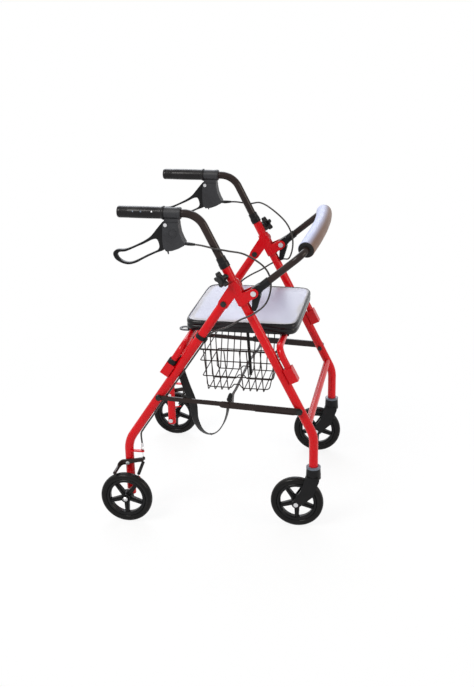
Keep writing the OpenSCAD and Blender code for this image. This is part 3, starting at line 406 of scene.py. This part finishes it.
class Finish:
    """A material with one Principled shader. Socket names are given with _ for a space."""

    def __init__(self, name, **sockets):
        self.material = bpy.data.materials.new(name)
        self.material.use_nodes = True
        self.tree = self.material.node_tree
        self.shader = self.tree.nodes["Principled BSDF"]
        for label, value in sockets.items():
            socket = self.shader.inputs[label.replace("_", " ")]
            socket.default_value = (*value, 1.0) if isinstance(value, tuple) else value

    def place(self, effect_name, **values):
        """Puts an effect into the material and sets its inputs."""
        node = self.tree.nodes.new("ShaderNodeGroup")
        node.node_tree = EFFECTS[effect_name]
        for label, value in values.items():
            socket = node.inputs[label]
            wide = isinstance(value, tuple) and socket.type == "RGBA"
            socket.default_value = (*value, 1.0) if wide else value
        return node

    def wire(self, source, label):
        """Joins a socket to an input of the shader."""
        self.tree.links.new(source, self.shader.inputs[label])

    def colour(self, base, shade, scale, amount, dust=0.0, dust_colour=(0.5, 0.49, 0.47)):
        """Mottled colour between base and shade, with dust on top where any is asked for."""
        m = self.place("mottle", Base=base, Shade=shade, Scale=scale, Amount=amount)
        out = m.outputs["Color"]
        if dust:
            d = self.place("settled_dust", Amount=dust)
            out = mixed(self.tree, d.outputs["Mask"], out, dust_colour)
        self.wire(out, "Base Color")

    def colour_with_painted_light(self, base, shade, pale, towards, low, high):
        """Mottled colour with painted light: a painted reflection colour takes over where the
        surface faces a direction.
        """
        m = self.place("mottle", Base=base, Shade=shade, Scale=8.0, Amount=0.7)
        b = self.place("painted_reflection", Towards=towards, Low=low, High=high)
        self.wire(mixed(self.tree, b.outputs["Mask"], m.outputs["Color"], pale), "Base Color")

    def rough(self, base, drift, scale=40.0):
        """Roughness that drifts about its base."""
        r = self.place("rubbed", Base=base, Drift=drift, Scale=scale)
        self.wire(r.outputs["Roughness"], "Roughness")

    def bump(self, height, strength, depth):
        """Fine relief from a height."""
        b = self.tree.nodes.new("ShaderNodeBump")
        b.inputs["Strength"].default_value = strength
        b.inputs["Distance"].default_value = depth
        self.tree.links.new(height, b.inputs["Height"])
        self.wire(b.outputs["Normal"], "Normal")

    def grain(self, scale, cells, strength, depth):
        """Fine relief of a moulded or sprayed skin."""
        g = self.place("moulded_grain", Scale=scale, Cells=cells)
        self.bump(g.outputs["Height"], strength, depth)


def make_finishes():
    """Every finish of the walker, by name."""
    f = {}
    k = Finish("red_enamel", Coat_Weight=0.16, Coat_Roughness=0.05, Specular_IOR_Level=0.12)
    k.colour((0.62, 0.0030, 0.0075), (0.44, 0.0020, 0.0052), 9.0, 0.6)
    k.rough(0.26, 0.08)
    k.grain(420.0, 0.1, 0.12, 0.0002)
    f["red"] = k
    k = Finish("black_enamel", Coat_Weight=0.3, Coat_Roughness=0.07, Specular_IOR_Level=0.05)
    k.colour((0.014, 0.0080, 0.0070), (0.030, 0.018, 0.0155), 14.0, 0.7, 0.02)
    k.rough(0.32, 0.12)
    k.grain(520.0, 0.15, 0.1, 0.0002)
    f["black_tube"] = k
    k = Finish("black_moulding", Specular_IOR_Level=0.08, Coat_Weight=0.18, Coat_Roughness=0.2)
    k.colour((0.0042, 0.0042, 0.0048), (0.0105, 0.0102, 0.0112), 20.0, 0.7, 0.05)
    k.rough(0.42, 0.14)
    k.grain(1500.0, 0.6, 0.25, 0.0002)
    f["moulding"] = k
    k = Finish("slate_moulding", Specular_IOR_Level=0.25)
    k.colour((0.022, 0.0225, 0.025), (0.040, 0.041, 0.045), 24.0, 0.7, 0.06)
    k.rough(0.45, 0.12)
    k.grain(1500.0, 0.6, 0.25, 0.0002)
    f["housing"] = k
    k = Finish("black_bolt", Metallic=0.3, Specular_IOR_Level=0.3)
    k.colour((0.012, 0.012, 0.012), (0.03, 0.029, 0.028), 60.0, 0.6, 0.05)
    k.rough(0.3, 0.12, 90.0)
    f["bolt"] = k
    k = Finish("bright_plate", Metallic=1.0)
    k.colour((0.70, 0.70, 0.71), (0.46, 0.46, 0.48), 70.0, 0.6)
    k.rough(0.22, 0.12, 120.0)
    f["steel"] = k
    k = Finish("dark_spring_steel", Metallic=0.6, Specular_IOR_Level=0.2)
    k.colour((0.035, 0.034, 0.034), (0.018, 0.018, 0.018), 90.0, 0.6)
    k.rough(0.34, 0.12, 120.0)
    f["spring"] = k
    k = Finish("grey_collar", Coat_Weight=0.2, Specular_IOR_Level=0.3)
    k.colour((0.125, 0.150, 0.190), (0.085, 0.105, 0.135), 40.0, 0.6, 0.08)
    k.rough(0.34, 0.1)
    k.grain(1200.0, 0.3, 0.12, 0.0002)
    f["collar"] = k
    k = Finish("tyre_rubber", Specular_IOR_Level=0.05, Coat_Weight=0.2, Coat_Roughness=0.12)
    k.colour((0.0035, 0.0033, 0.0035), (0.0085, 0.0078, 0.0075), 26.0, 0.8, 0.12,
             dust_colour=(0.10, 0.095, 0.09))
    k.rough(0.40, 0.16)
    k.grain(1100.0, 0.4, 0.3, 0.0003)
    f["tyre"] = k
    k = Finish("grip_rubber", Specular_IOR_Level=0.08, Coat_Weight=0.25, Coat_Roughness=0.18)
    k.colour((0.0055, 0.005, 0.0055), (0.013, 0.0115, 0.0125), 40.0, 0.7, 0.08)
    k.rough(0.34, 0.14, 60.0)
    k.grain(1800.0, 0.7, 0.25, 0.0002)
    f["grip"] = k
    # painted light: lavender where the foam faces up and back is a painted sky reflection, and the
    # brown base and shade on the other sides are painted warm light and shade
    k = Finish("foam_skin_painted_light", Specular_IOR_Level=0.15)
    k.colour_with_painted_light((0.190, 0.112, 0.082), (0.140, 0.084, 0.062), pale=(0.42, 0.455, 0.63),
              towards=(-0.62, -0.15, 0.77), low=0.05, high=0.88)
    k.rough(0.42, 0.12)
    k.grain(600.0, 0.5, 0.02, 0.0002)
    f["foam"] = k
    k = Finish("foam_end_cut", Specular_IOR_Level=0.2)
    k.colour((0.008, 0.0078, 0.008), (0.018, 0.017, 0.0175), 60.0, 0.8)
    k.rough(0.5, 0.12)
    k.grain(1400.0, 0.8, 0.4, 0.0003)
    f["foam_end"] = k
    # painted reflection: the top turns lavender only where it faces straight up, a painted sky
    # reflection
    k = Finish("pale_vinyl_painted_reflection", Sheen_Weight=0.1, Sheen_Roughness=0.35, Specular_IOR_Level=0.35)
    k.colour_with_painted_light((0.33, 0.315, 0.335), (0.27, 0.255, 0.27), pale=(0.36, 0.365, 0.475),
              towards=(0.0, 0.0, 1.0), low=0.99, high=1.0)
    k.rough(0.34, 0.1, 16.0)
    k.grain(1000.0, 0.85, 0.2, 0.0003)
    f["seat_top"] = k
    k = Finish("black_vinyl", Coat_Weight=0.3, Coat_Roughness=0.16, Specular_IOR_Level=0.08)
    k.colour((0.006, 0.006, 0.007), (0.013, 0.013, 0.0145), 12.0, 0.7)
    k.rough(0.28, 0.1, 20.0)
    k.grain(1000.0, 0.85, 0.22, 0.0003)
    f["seat_side"] = k
    for name, label, thread, shade, gap in (
            ("webbing", "black_webbing",
             (0.011, 0.011, 0.012), (0.007, 0.007, 0.008), (0.003, 0.003, 0.003)),
            ("grey_webbing", "grey_webbing",
             (0.20, 0.20, 0.205), (0.14, 0.14, 0.145), (0.05, 0.05, 0.052))):
        k = Finish(label, Sheen_Weight=0.1, Specular_IOR_Level=0.2)
        w = k.place("ribbed_weave", Across=500.0, Along=420.0)
        m = k.place("mottle", Base=thread, Shade=shade, Scale=40.0, Amount=0.8)
        k.wire(mixed(k.tree, w.outputs["Gap"], m.outputs["Color"], gap), "Base Color")
        k.rough(0.6, 0.1)
        k.bump(w.outputs["Height"], 0.6, 0.0004)
        f[name] = k
    k = Finish("cable_sheath", Specular_IOR_Level=0.3)
    k.colour((0.030, 0.027, 0.026), (0.055, 0.050, 0.047), 50.0, 0.7, 0.1)
    k.rough(0.36, 0.12, 70.0)
    k.grain(1600.0, 0.4, 0.15, 0.0002)
    f["sheath"] = k
    return {name: k.material for name, k in f.items()}


FINISH = make_finishes()


# stage

def placed(axes, at):
    """Matrix with the given axes as its columns, moved to a point."""
    m = np.eye(4)
    m[:3, :3] = axes
    m[:3, 3] = at
    return Matrix(m.tolist())


def set_camera():
    """Camera of the photograph: its axes right, up and forward, its place, and its focal length in
    the photo's pixels, turned into millimetres for a frame 36 mm tall."""
    right = np.array([0.98185, 0.18878, -0.01842])
    up = np.array([-0.05077, 0.35511, 0.93344])
    forward = np.array([-0.18276, 0.91556, -0.35825])
    place = (0.5989, -2.8573, 1.5732)
    focal_px, photo_px, frame_mm = 1045.76, 687, 36.0
    data = bpy.data.cameras.new("photo_camera")
    data.sensor_fit = "VERTICAL"
    data.sensor_height = frame_mm
    data.lens = focal_px / photo_px * frame_mm
    data.clip_end = 60
    camera = bpy.data.objects.new("photo_camera", data)
    camera.matrix_world = placed(np.stack([right, up, -forward], 1), place)
    bpy.context.scene.collection.objects.link(camera)
    bpy.context.scene.camera = camera


def seen_rays(tree):
    """1 for rays that show the background itself: straight from the camera, mirrored or through
    glass."""
    path = tree.nodes.new("ShaderNodeLightPath")
    a = math(tree, "MAXIMUM", path.outputs["Is Camera Ray"], path.outputs["Is Glossy Ray"])
    return math(tree, "MAXIMUM", a, path.outputs["Is Transmission Ray"])


def mix_shaders(tree, share, a, b, output):
    """Surface of an output node: shader a, which gives way to shader b by a share."""
    mix = tree.nodes.new("ShaderNodeMixShader")
    tree.links.new(share, mix.inputs[0])
    tree.links.new(a.outputs[0], mix.inputs[1])
    tree.links.new(b.outputs[0], mix.inputs[2])
    tree.links.new(mix.outputs[0], output.inputs["Surface"])


def set_world():
    """World that is white to the eye and lights the walker with half of a cooler white."""
    world = bpy.data.worlds.new("studio")
    world.use_nodes = True
    bpy.context.scene.world = world
    tree = world.node_tree
    light = tree.nodes["Background"]
    light.inputs["Color"].default_value = (0.93, 0.96, 1.0, 1)
    light.inputs["Strength"].default_value = 0.5
    white = tree.nodes.new("ShaderNodeBackground")
    white.inputs["Color"].default_value = (1, 1, 1, 1)
    mix_shaders(tree, seen_rays(tree), light, white, tree.nodes["World Output"])


def set_floor():
    """Floor that keeps a faint shadow near the walker and lets the white world show through it. A
    folded frame reaches below the floor, so the floor is clear to the eye and not a wall."""
    reach, cells = 30, 12
    a = np.linspace(-reach, reach, cells + 1)
    x, y = np.meshgrid(a, a, indexing="ij")
    verts = np.stack([x, y, np.zeros_like(x)], -1).reshape(-1, 3)
    row = cells + 1
    i = (np.arange(cells)[:, None] * row + np.arange(cells)[None, :]).ravel()
    mesh = bpy.data.meshes.new("studio_floor")
    mesh.from_pydata(verts.tolist(), [], np.stack([i, i + row, i + row + 1, i + 1], 1).tolist())
    floor = bpy.data.objects.new("studio_floor", mesh)
    bpy.context.scene.collection.objects.link(floor)
    k = Finish("studio_floor", Base_Color=(0.9, 0.9, 0.9), Roughness=0.9, Specular_IOR_Level=0.1)
    tree = k.tree
    clear = tree.nodes.new("ShaderNodeBsdfTransparent")
    away = tree.nodes.new("ShaderNodeVectorMath")
    away.operation = "LENGTH"
    tree.links.new(tree.nodes.new("ShaderNodeTexCoord").outputs["Object"], away.inputs[0])
    shadow, fades_from, fades_to = 0.14, 0.35, 1.1
    far = spread(tree, away.outputs["Value"], fades_from, fades_to)
    share = math(tree, "ADD", math(tree, "MULTIPLY", far, shadow), 1 - shadow)
    share = math(tree, "MULTIPLY", seen_rays(tree), share)
    mix_shaders(tree, share, k.shader, clear, tree.nodes["Material Output"])
    mesh.materials.append(k.material)


def set_lamps():
    """Soft square lamps, each turned to its target: a key from behind the near side, a cool sky
    from the far side and a weak warm one from the front."""
    for name, place, target, size, power, tint in (
            ("key", (-1.6, -2.2, 3.0), (0, 0, 0.5), 1.4, 74, (1.0, 0.98, 0.95)),
            ("sky", (-0.9, 2.6, 2.6), (0, 0, 0.6), 2.6, 90, (0.88, 0.92, 1.0)),
            ("front", (2.6, -0.6, 1.6), (0.1, 0, 0.4), 1.4, 28, (1.0, 0.87, 0.74))):
        data = bpy.data.lights.new(name, "AREA")
        data.size = size
        data.energy = power
        data.color = tint
        lamp = bpy.data.objects.new(name, data)
        back = unit(np.array(place) - np.array(target))
        right = unit(np.cross([0, 0, 1], back))
        lamp.matrix_world = placed(np.stack([right, np.cross(back, right), back], 1), place)
        bpy.context.scene.collection.objects.link(lamp)


def set_stage():
    """White sweep with its light."""
    bpy.context.scene.view_settings.view_transform = "Standard"
    set_world()
    set_floor()
    set_lamps()


# cables, wires and springs

def mirrored(points, s):
    """The same points on the left (s = 1) or the right (s = -1)."""
    return np.asarray(points, float) * [1, s, 1]


def on_rear(h, y):
    """Point on the run of the cable along the rear leg, h up from the leg's bend."""
    p = REAR_CORNER + h * RU - (TUBE_R + CABLE_R + CABLE_OFF_LEG) * RN
    return [p[0], y, p[1]]


def cable_knots(lift):
    """Route of a brake cable: out of the housing, forward behind the raised bow and round the
    bracket, down the rear leg to its stop. lift raises the loop over a knob."""
    y = LEG_Y
    upper = [[-0.0494, y, GRIP_Z - 0.083], [-0.016, y + 0.007, GRIP_Z - 0.0835],
             [0.026, y + 0.0146, 0.820], [0.060, y + 0.005, 0.812 + lift],
             [0.098, y - 0.0155, 0.799 + lift], [0.142, y - 0.025, 0.770 + lift / 2],
             [0.163, y - 0.030, 0.738], [0.166, y - 0.031, 0.698], [0.153, y - 0.021, 0.660]]
    lower = [[0.126, y + 0.020, 0.644], [0.092, y + 0.024, 0.628], [0.058, y + 0.023, 0.606],
             [0.027, y + 0.013, 0.591]]
    lower += [on_rear(mm / 1000, y + 0.003) for mm in (424, 402, 380, 330, 260, 200, 150, 100, 60)]
    lower += [[REAR_X + 0.040, y + 0.006, 0.258]]
    lower += [[*CABLE_STOP[:2], z] for z in (0.224, 0.2062)]
    return upper, lower


def make_cables():
    """Brake cables as round sheaths on one smooth line each, cut where the handle's part hands
    over to the frame's, with a tapered boot at the housing, a bright adjuster on the stop and a
    bare wire down to the brake arm."""
    boot_profile = [[0.0046, -0.002], [0.0048, 0.0], [0.0044, 0.004], [0.0046, 0.005],
                    [0.0041, 0.009], [0.0043, 0.010], [0.0036, 0.015], [0.0031, 0.019],
                    [0.0026, 0.020]]
    adjuster_profile = [[0.0036, 0.0002], [0.0036, 0.004], [0.0046, 0.0045], [0.0046, 0.0085],
                        [0.0036, 0.009], [0.0036, 0.019], [0.0033, 0.0235], [0.0026, 0.024]]
    wire_r, wire_end = 0.0008, [0.0006, 0, -0.0205]
    for tag, s in SIDES:
        upper, lower = cable_knots(KNOB_LIFT if tag == "l" else 0.0)
        line = through(mirrored(upper + lower, s), SPAN)
        cut = SPAN * (len(upper) - 1)
        for name, part, bodies, a, b in (
                ("cable_loop_" + tag, line[:cut + 1], ("handle_" + tag, "front_frame"), 0, -1),
                ("cable_run_" + tag, line[cut:], ("front_frame", "rear_frame"), 0, 6 * SPAN)):
            piece = skin(name, carried(circle(CABLE_R, 14), part, (0, 1, 0)), FINISH["sheath"])
            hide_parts("cable_" + tag)
            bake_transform(piece)
        grid = turned(boot_profile, line[0], line[2] - line[0], 28)
        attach(skin("cable_boot_" + tag, grid, FINISH["moulding"]), "handle_" + tag)
        stop = mirrored(CABLE_STOP, s)
        grid = turned(adjuster_profile, stop, (0, 0, 1), 24)
        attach(skin("cable_adjuster_" + tag, grid, FINISH["steel"]), "rear_frame")
        wire = np.linspace(stop + [0, 0, 0.001], stop + wire_end, 14)
        grid = carried(circle(wire_r, 8), wire, (0, 1, 0))
        bare = skin("brake_wire_" + tag, grid, FINISH["steel"])
        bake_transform(bare)


def arc(centre, p, q, r, first, last, n):
    """Points centre + r (cos a p + sin a q) at n angles in degrees."""
    a = np.radians(np.linspace(first, last, n))[:, None]
    return centre + r * (np.cos(a) * p + np.sin(a) * q)


def make_springs():
    """Return springs: an arc over the anchor pin, a close helix of 22 turns, an arc under the peg,
    as one round wire."""
    wire, coil, turns, steps = 0.0009, 0.004, 22, 16
    anchor_r, peg_r, play = 0.0044, 0.002, 0.00015
    anchor = np.array([REAR_X + 0.043, LEG_Y + 0.0105, 0.181])
    peg = np.array([REAR_X + 0.026, LEG_Y + 0.01 * 18 / 22, 0.120])
    side = unit([-10, 22, 0])
    top = anchor + [0, 0, -0.010]
    low = peg + 0.0008 * side + [0, 0, 0.008]
    t = unit(low - top)
    e = unit(np.cross([0, 1, 0], t))
    f = np.cross(t, e)
    x, z = np.array([1.0, 0, 0]), np.array([0.0, 0, 1])
    g = np.linspace(0, turns * 2 * np.pi, turns * steps + 1)[:, None]
    helix = top + g / g[-1] * (low - top) + coil * (np.cos(g) * e + np.sin(g) * f)
    line = np.vstack([arc(anchor, x, z, anchor_r + wire + play, -40, 200, 16), helix,
                      arc(peg, side, z, peg_r + wire + play, 80, -160, 10)])
    for tag, s in SIDES:
        p = mirrored(line, s)
        d = unit(np.gradient(p, axis=0))
        # normal of the wire's bend; the small term keeps it off zero
        ref = np.cross(d, np.roll(d, -3, 0) + [1e-3, 2e-3, 1e-3])
        piece = skin("brake_spring_coil_" + tag, carried(circle(wire, 8), p, ref), FINISH["spring"])
        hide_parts("brake_spring_" + tag)
        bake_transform(piece)


# straps

def make_lift_straps():
    """Lift strap under the basket, as two halves that hang from the eyes of the braces, each
    closed by a moulded clip that swells and tapers along its axis."""
    eye = LEG_Y + TUBE_R + 0.0056
    half = [[MID_PIN[0] + 0.006, eye - 0.004, MID_PIN[1] + 0.011],
            [0.058, eye - 0.022, MID_PIN[1] - 0.008], [0.054, LEG_Y - 0.030, BASKET_FLOOR + 0.016],
            [STRAP_X, 0.130, BASKET_FLOOR + 0.007]]
    half += [[STRAP_X, y, BASKET_FLOOR + 0.005] for y in (0.088, 0.040, 0.0)]
    strip = flat_oval(0.004, WEB_HALF)
    clip_length, rings = 0.024, 13
    swell = 0.35 + 0.65 * np.sin(np.pi * np.linspace(0.06, 0.9, rings)) ** 0.7
    for tag, s in SIDES:
        p = through(mirrored(half, s), SPAN)
        piece = skin("lift_strap_" + tag, carried(strip, p, (1, 0, 0)), FINISH["grey_webbing"])
        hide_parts("lift_strap")
        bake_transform(piece)
        eye_at = mirrored([MID_PIN[0] + 0.004, eye, MID_PIN[1] + 0.012], s)
        lean = unit([0.28, -0.12 * s, 0.95])
        axis = np.linspace(0, clip_length, rings)[:, None] * lean + eye_at
        grid = carried(flat_oval(0.0068, 0.0036, 20, 0.7), axis, (1, 0, 0), swell=swell)
        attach(skin("strap_clip_" + tag, grid, FINISH["moulding"]), "front_brace_" + tag)


def make_pull_strap():
    """Pull strap from the basket's floor up to the seat board."""
    x = STRAP_X + 0.0225
    rise = [[x, 0.034, BASKET_FLOOR + 0.0016], [x - 0.001, 0.033, BASKET_FLOOR + 0.040],
            [x - 0.005, 0.029, BASKET_FLOOR + 0.120], [x - 0.009, 0.025, BOARD_Z - 0.0003]]
    p = through(rise, 14)
    piece = skin("pull_strap_band", carried(flat_oval(0.0045, WEB_HALF), p, (1, 0, 0)),
                 FINISH["webbing"])
    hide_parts("pull_strap")
    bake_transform(piece)


def make_hold_strap():
    """Holding strap that hangs in a loop inside the right legs, from the rear leg to the brace's
    middle joint, and turns by 80 degrees over its middle half."""
    drop = [[-0.099, 0.022, 0.499], [-0.092, 0.020, 0.462], [-0.076, 0.018, 0.410],
            [-0.057, 0.016, 0.356], [-0.052, 0.016, 0.310], [-0.036, 0.016, 0.275],
            [-0.012, 0.016, 0.262], [0.012, 0.016, 0.272], [0.032, 0.014, 0.302],
            [0.044, 0.008, 0.338], [MID_PIN[0] - 0.002, 0.002, MID_PIN[1] - 0.006]]
    p = through(np.array(drop) - [0, LEG_Y, 0], SPAN)
    g = np.radians(80) * np.clip(2 * np.arange(len(p)) / (len(p) - 1) - 0.5, 0, 1)
    piece = skin("hold_strap_loop", carried(flat_oval(0.012, WEB_HALF), p, (1, 0, 0), twist=g),
                 FINISH["webbing"])
    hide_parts("hold_strap")
    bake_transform(piece)


# padding

def seat_outline(inset):
    """Rounded square seen from above: radius at angle a is (|cos a / h|^q + |sin a / w|^q)^(-1/q)
    with q = 10.5, half depth h and half width w less the inset, and the angles drawn closer
    together at the corners."""
    half_depth, half_width, q, n = 0.161, 0.172, 10.5, 240
    a = 2 * np.pi * np.arange(n) / n
    a = a + 0.19 * np.sin(4 * a)
    inset = np.asarray(inset, float)[:, None]
    r = (np.abs(np.cos(a) / (half_depth - inset)) ** q
         + np.abs(np.sin(a) / (half_width - inset)) ** q) ** (-1 / q)
    return np.stack([SEAT_MID[0] + r * np.cos(a), SEAT_MID[1] + r * np.sin(a)], -1), a


def make_seat():
    """Seat pad, one closed skin of rings: flat underside, side that swells above and below a sewn
    line, piped edge, and a crowned top that is drawn in a little between stitches at the piping.
    Each ring is the outline at an inset, and its height is the pad's base plus the profile's."""
    # side profile as (inset, height) in millimetres, from under the pad to its piping
    side = np.array([[120, 0], [60, 0], [20, 0], [8, 0], [5.2, 0.2], [3.2, 0.9], [1.6, 2.4],
                     [0.8, 4.6], [0.5, 7.4], [0.6, 10.2], [1.1, 12.4], [1.9, 13.5], [2.2, 14.0],
                     [1.9, 14.5], [1.0, 15.6], [0.4, 17.4], [0.15, 19.6], [0.3, 22.0], [0.8, 24.2],
                     [1.8, 26.0], [3.0, 27.2], [4.2, 27.8]]) / 1000
    d = np.linspace(0, 1, 34)
    top = np.stack([0.0058 + 0.146 * d ** 1.25, 0.0280 + 0.0049 * (1 - (1 - d) ** 2.6)], 1)
    crown = 0.0329
    rings = np.vstack([side, top])
    xy, a = seat_outline(rings[:, 0])
    z = np.broadcast_to(SEAT_LOW + rings[:, 1, None], xy.shape[:2]).copy()
    on_top = np.arange(len(rings)) >= len(side)
    seam, seam_width, stitches = 0.0095, 0.006, 92
    near = np.exp(-((rings[:, 0] - seam) / seam_width) ** 2)[:, None] * on_top[:, None]
    z -= near * 0.0005 * (0.5 + 0.5 * np.cos(stitches * a))[None, :]
    z += (0.0012 * np.sin(2 * a + 0.6) * np.sin(3 * a))[None, :] * near
    grid = np.concatenate([xy, z[..., None]], -1)
    bands = np.r_[np.zeros(len(side), int), np.ones(len(top) - 1, int)]
    piece = skin("seat_pad", grid, [FINISH["seat_side"], FINISH["seat_top"]], bands=bands,
                 ends=([*SEAT_MID, SEAT_LOW], [*SEAT_MID, SEAT_LOW + crown]))
    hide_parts("seat_cushion")
    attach(piece, "seat")
    piping_r, piping_inset, piping_height = 0.0017, 0.0050, 0.0278
    edge = seat_outline([piping_inset])[0][0]
    line = np.concatenate([edge, np.full((len(edge), 1), SEAT_LOW + piping_height)], 1)
    bead = skin("seat_piping", carried(circle(piping_r, 10), line, (0, 0, 1), closed=True),
                FINISH["seat_side"], closed=True)
    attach(bead, "seat")


def make_back_foam():
    """Foam sleeve of the back bow: a circle carried along the bow's crossing part, a little
    uneven, with rounded cut ends. It is pushed outwards on its tube by arch (1 - (y / half
    length)^2)."""
    bu = np.array([np.cos(BOW_SLOPE), np.sin(BOW_SLOPE)])

    def at(s, y):
        """Point of the bow's plane, s from its hinge."""
        p = BACK_PIN + s * bu
        return [p[0], y, p[1]]

    r, foam_y, corner, crest, arch, points = 0.023, LEG_Y - 0.036, 0.172, 0.190, 0.0105, 48
    low = corner + (LEG_Y - foam_y) * (crest - corner) / LEG_Y
    line = rounded([at(low, foam_y), at(crest, 0), at(low, -foam_y)], [0, 2.6, 0], 0.006)
    line += arch * (1 - (line[:, 1:2] / foam_y) ** 2) * [bu[0], 0, bu[1]]
    s = arc_length(line)
    swell = 1 + 0.012 * np.sin(s * 43) * np.sin(s * 19 + 1) - 0.006
    # rings of a cut end as (distance past the line's end, radius) in millimetres
    ends = np.array([[-4.0, 9.9], [-4.0, 19.6], [-3.7, 20.6], [-2.6, 21.8], [-1.2, 22.6]]) / 1000
    u0, u1 = unit(line[0] - line[1]), unit(line[-1] - line[-2])
    path = np.vstack([line[0] - ends[:, :1] * u0, line, line[-1] - ends[::-1, :1] * u1])
    k = np.concatenate([ends[:, 1] / r, swell, ends[::-1, 1] / r])
    # the rings of an end lie over one another, so they take the direction of the line beside them
    up = np.array([-bu[1], 0, bu[0]])
    t = unit(np.gradient(line, axis=0))
    t = np.vstack([np.repeat(t[:1], len(ends), 0), t, np.repeat(t[-1:], len(ends), 0)])
    b = np.cross(t, up)
    o = circle(r, points)
    grid = path[:, None] + k[:, None, None] * (o[:, 0, None] * up + o[:, 1, None] * b[:, None])
    bands = np.zeros(len(path) - 1, int)
    bands[:3] = bands[-3:] = 1
    piece = skin("back_foam_sleeve", grid, [FINISH["foam"], FINISH["foam_end"]], bands=bands)
    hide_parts("back_foam")
    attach(piece, "backrest")


# wheels and grips

def make_tyres():
    """Tyres turned from a section: bead, swelling side with a fine rib, and a crown with two
    shallow grooves. Over an angle a across the tread, radius = base + height |cos a|^0.75 and
    width = half width |sin a|^0.8 with the sign of sin a."""
    height, half_width = 0.011, 0.013
    groove_at, groove, rib_at, rib, sharp = 0.0042, 0.0007, 0.0672, 0.0004, 0.0006
    a = np.radians(np.linspace(-90, 90, 61))
    r = WHEEL_R - height + height * np.abs(np.cos(a)) ** 0.75
    w = half_width * np.sign(np.sin(a)) * np.abs(np.sin(a)) ** 0.8
    for place in (groove_at, -groove_at):
        r -= groove * np.exp(-((w - place) / sharp) ** 2)
    w += np.sign(w) * (rib * np.exp(-((r - rib_at) / sharp) ** 2) - rib)
    bead = np.array([[0.0582, -0.0088], [0.0592, -0.0102], [0.061, -0.0112]])
    section = np.vstack([bead, np.stack([r, w], 1)[1:-1], bead[::-1] * [1, -1]])
    for tag, s in SIDES:
        for end, x, y in (("r", REAR_X, LEG_Y + REAR_WHEEL_OUT), ("f", FRONT_AXLE_X, LEG_Y)):
            name = end + tag
            rings = turned(section, (x, s * y, WHEEL_R), (0, 1, 0), 128)
            grid = rings.transpose(1, 0, 2)[::-1, ::-1]
            piece = skin("tyre_skin_" + name, grid, FINISH["tyre"], closed=True)
            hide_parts("tyre_" + name)
            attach(piece, ("rear_wheel_" if end == "r" else "front_wheel_") + tag)


def grip_profile():
    """Profile (radius, X) of a grip: rounded at the free end, fine ribs behind it, a plain barrel
    that swells by 0.3 mm, and a flange at the housing."""
    start, neck, flange, r = -0.2405, -0.116, -0.112, 0.0160
    tip = [[0.0070, start], [0.0110, start], [0.0128, start + 0.0004], [0.0143, start + 0.0013],
           [0.0153, start + 0.0029], [0.0158, start + 0.0050], [r, start + 0.0078]]
    ribs = [[r - 0.0006 * (k % 4 in (2, 3)), start + 0.0085 + 0.0008 * k] for k in range(28)]
    t = np.linspace(0, 1, 24)
    barrel = np.stack([r + 0.0003 * np.sin(np.pi * t),
                       start + 0.0315 + t * (neck - 0.0065 - start - 0.0315)], 1)
    rim = [[r, neck - 0.006], [0.0164, neck - 0.004], [0.0174, neck - 0.0015], [0.0184, neck],
           [0.0186, neck + 0.001], [0.0186, flange - 0.0012], [0.0183, flange - 0.0005],
           [0.0177, flange], [0.01105, flange]]
    return np.vstack([tip, ribs, barrel, rim])


def make_grips():
    """Grips turned about X, three domed plugs in a row on the outer side of each, and a tapered
    catch tab under the outer cheek of the brake housing."""
    profile = grip_profile()
    dome = [[0.0024, 0.0], [0.0024, 0.0006], [0.0021, 0.0010], [0.0012, 0.0013], [0.0004, 0.0014]]
    plugs = ((-0.1944, "collar"), (-0.1728, "collar"), (-0.1426, "steel"))
    tilt, plug_seat = np.radians(20), 0.0158
    tab_top, tab_run, rings = (-0.1062, LEG_Y + CATCH_Y, 0.818), [0.0036, 0, -0.019], 12
    taper = np.sqrt(np.clip(np.linspace(1.15, 0.12, rings), 0, 1))
    for tag, s in SIDES:
        grid = turned(profile, (0, s * LEG_Y, GRIP_Z), (1, 0, 0), 80)
        piece = skin("grip_sleeve_" + tag, grid, FINISH["grip"])
        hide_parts("grip_" + tag)
        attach(piece, "handle_" + tag)
        out = np.array([0, s * np.cos(tilt), np.sin(tilt)])
        for k, (x, look) in enumerate(plugs):
            centre = np.array([x, s * LEG_Y, GRIP_Z]) + plug_seat * out
            plug = skin(f"grip_plug_{k}_{tag}", turned(dome, centre, out, 20), FINISH[look])
            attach(plug, "handle_" + tag)
        top = mirrored(tab_top, s)
        tab = np.linspace(top, top + tab_run, rings)
        grid = carried(flat_oval(0.0036, 0.0016, 20, 0.7), tab, (1, 0, 0), swell=taper)
        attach(skin("housing_catch_" + tag, grid, FINISH["housing"]), "handle_" + tag)


# finishes of the carried-over solids

LOOKS = {
    "red": ["front_legs", "seat_bar_front", "brackets", "rear_legs", "seat_bar_rear"],
    "black_tube": ["handle_tube_l", "handle_tube_r", "back_bow", "front_link_l", "front_link_r",
                   "rear_link_l", "rear_link_r", "basket", "brake_arm_l", "brake_arm_r"],
    "moulding": ["leg_sleeves", "socket_rings", "cable_ties", "hub_rl", "hub_rr", "hub_fl",
                 "hub_fr", "fork_l", "fork_r", "lever_l", "lever_r", "knob_l", "knob_r",
                 "back_clips", "seat_clips", "seat_board"],
    "housing": ["brake_housing_l", "brake_housing_r"],
    "bolt": ["pivot_bolts", "front_brace_bolts", "rear_brace_bolts"],
    "collar": ["collar_ring_l", "collar_ring_r"],
    "steel": ["back_bolts", "rear_axles", "brake_pins", "caster_axle_l", "caster_axle_r",
              "lever_bolt_l", "lever_bolt_r"],
}


def finish_solids():
    """Gives each shown solid its finish."""
    for look, names in LOOKS.items():
        for name in names:
            NODES[name].data.materials.clear()
            NODES[name].data.materials.append(FINISH[look])


set_camera()
make_cables()
make_lift_straps()
make_pull_strap()
make_hold_strap()
set_stage()
make_springs()
make_seat()
make_back_foam()
make_tyres()
make_grips()
finish_solids()
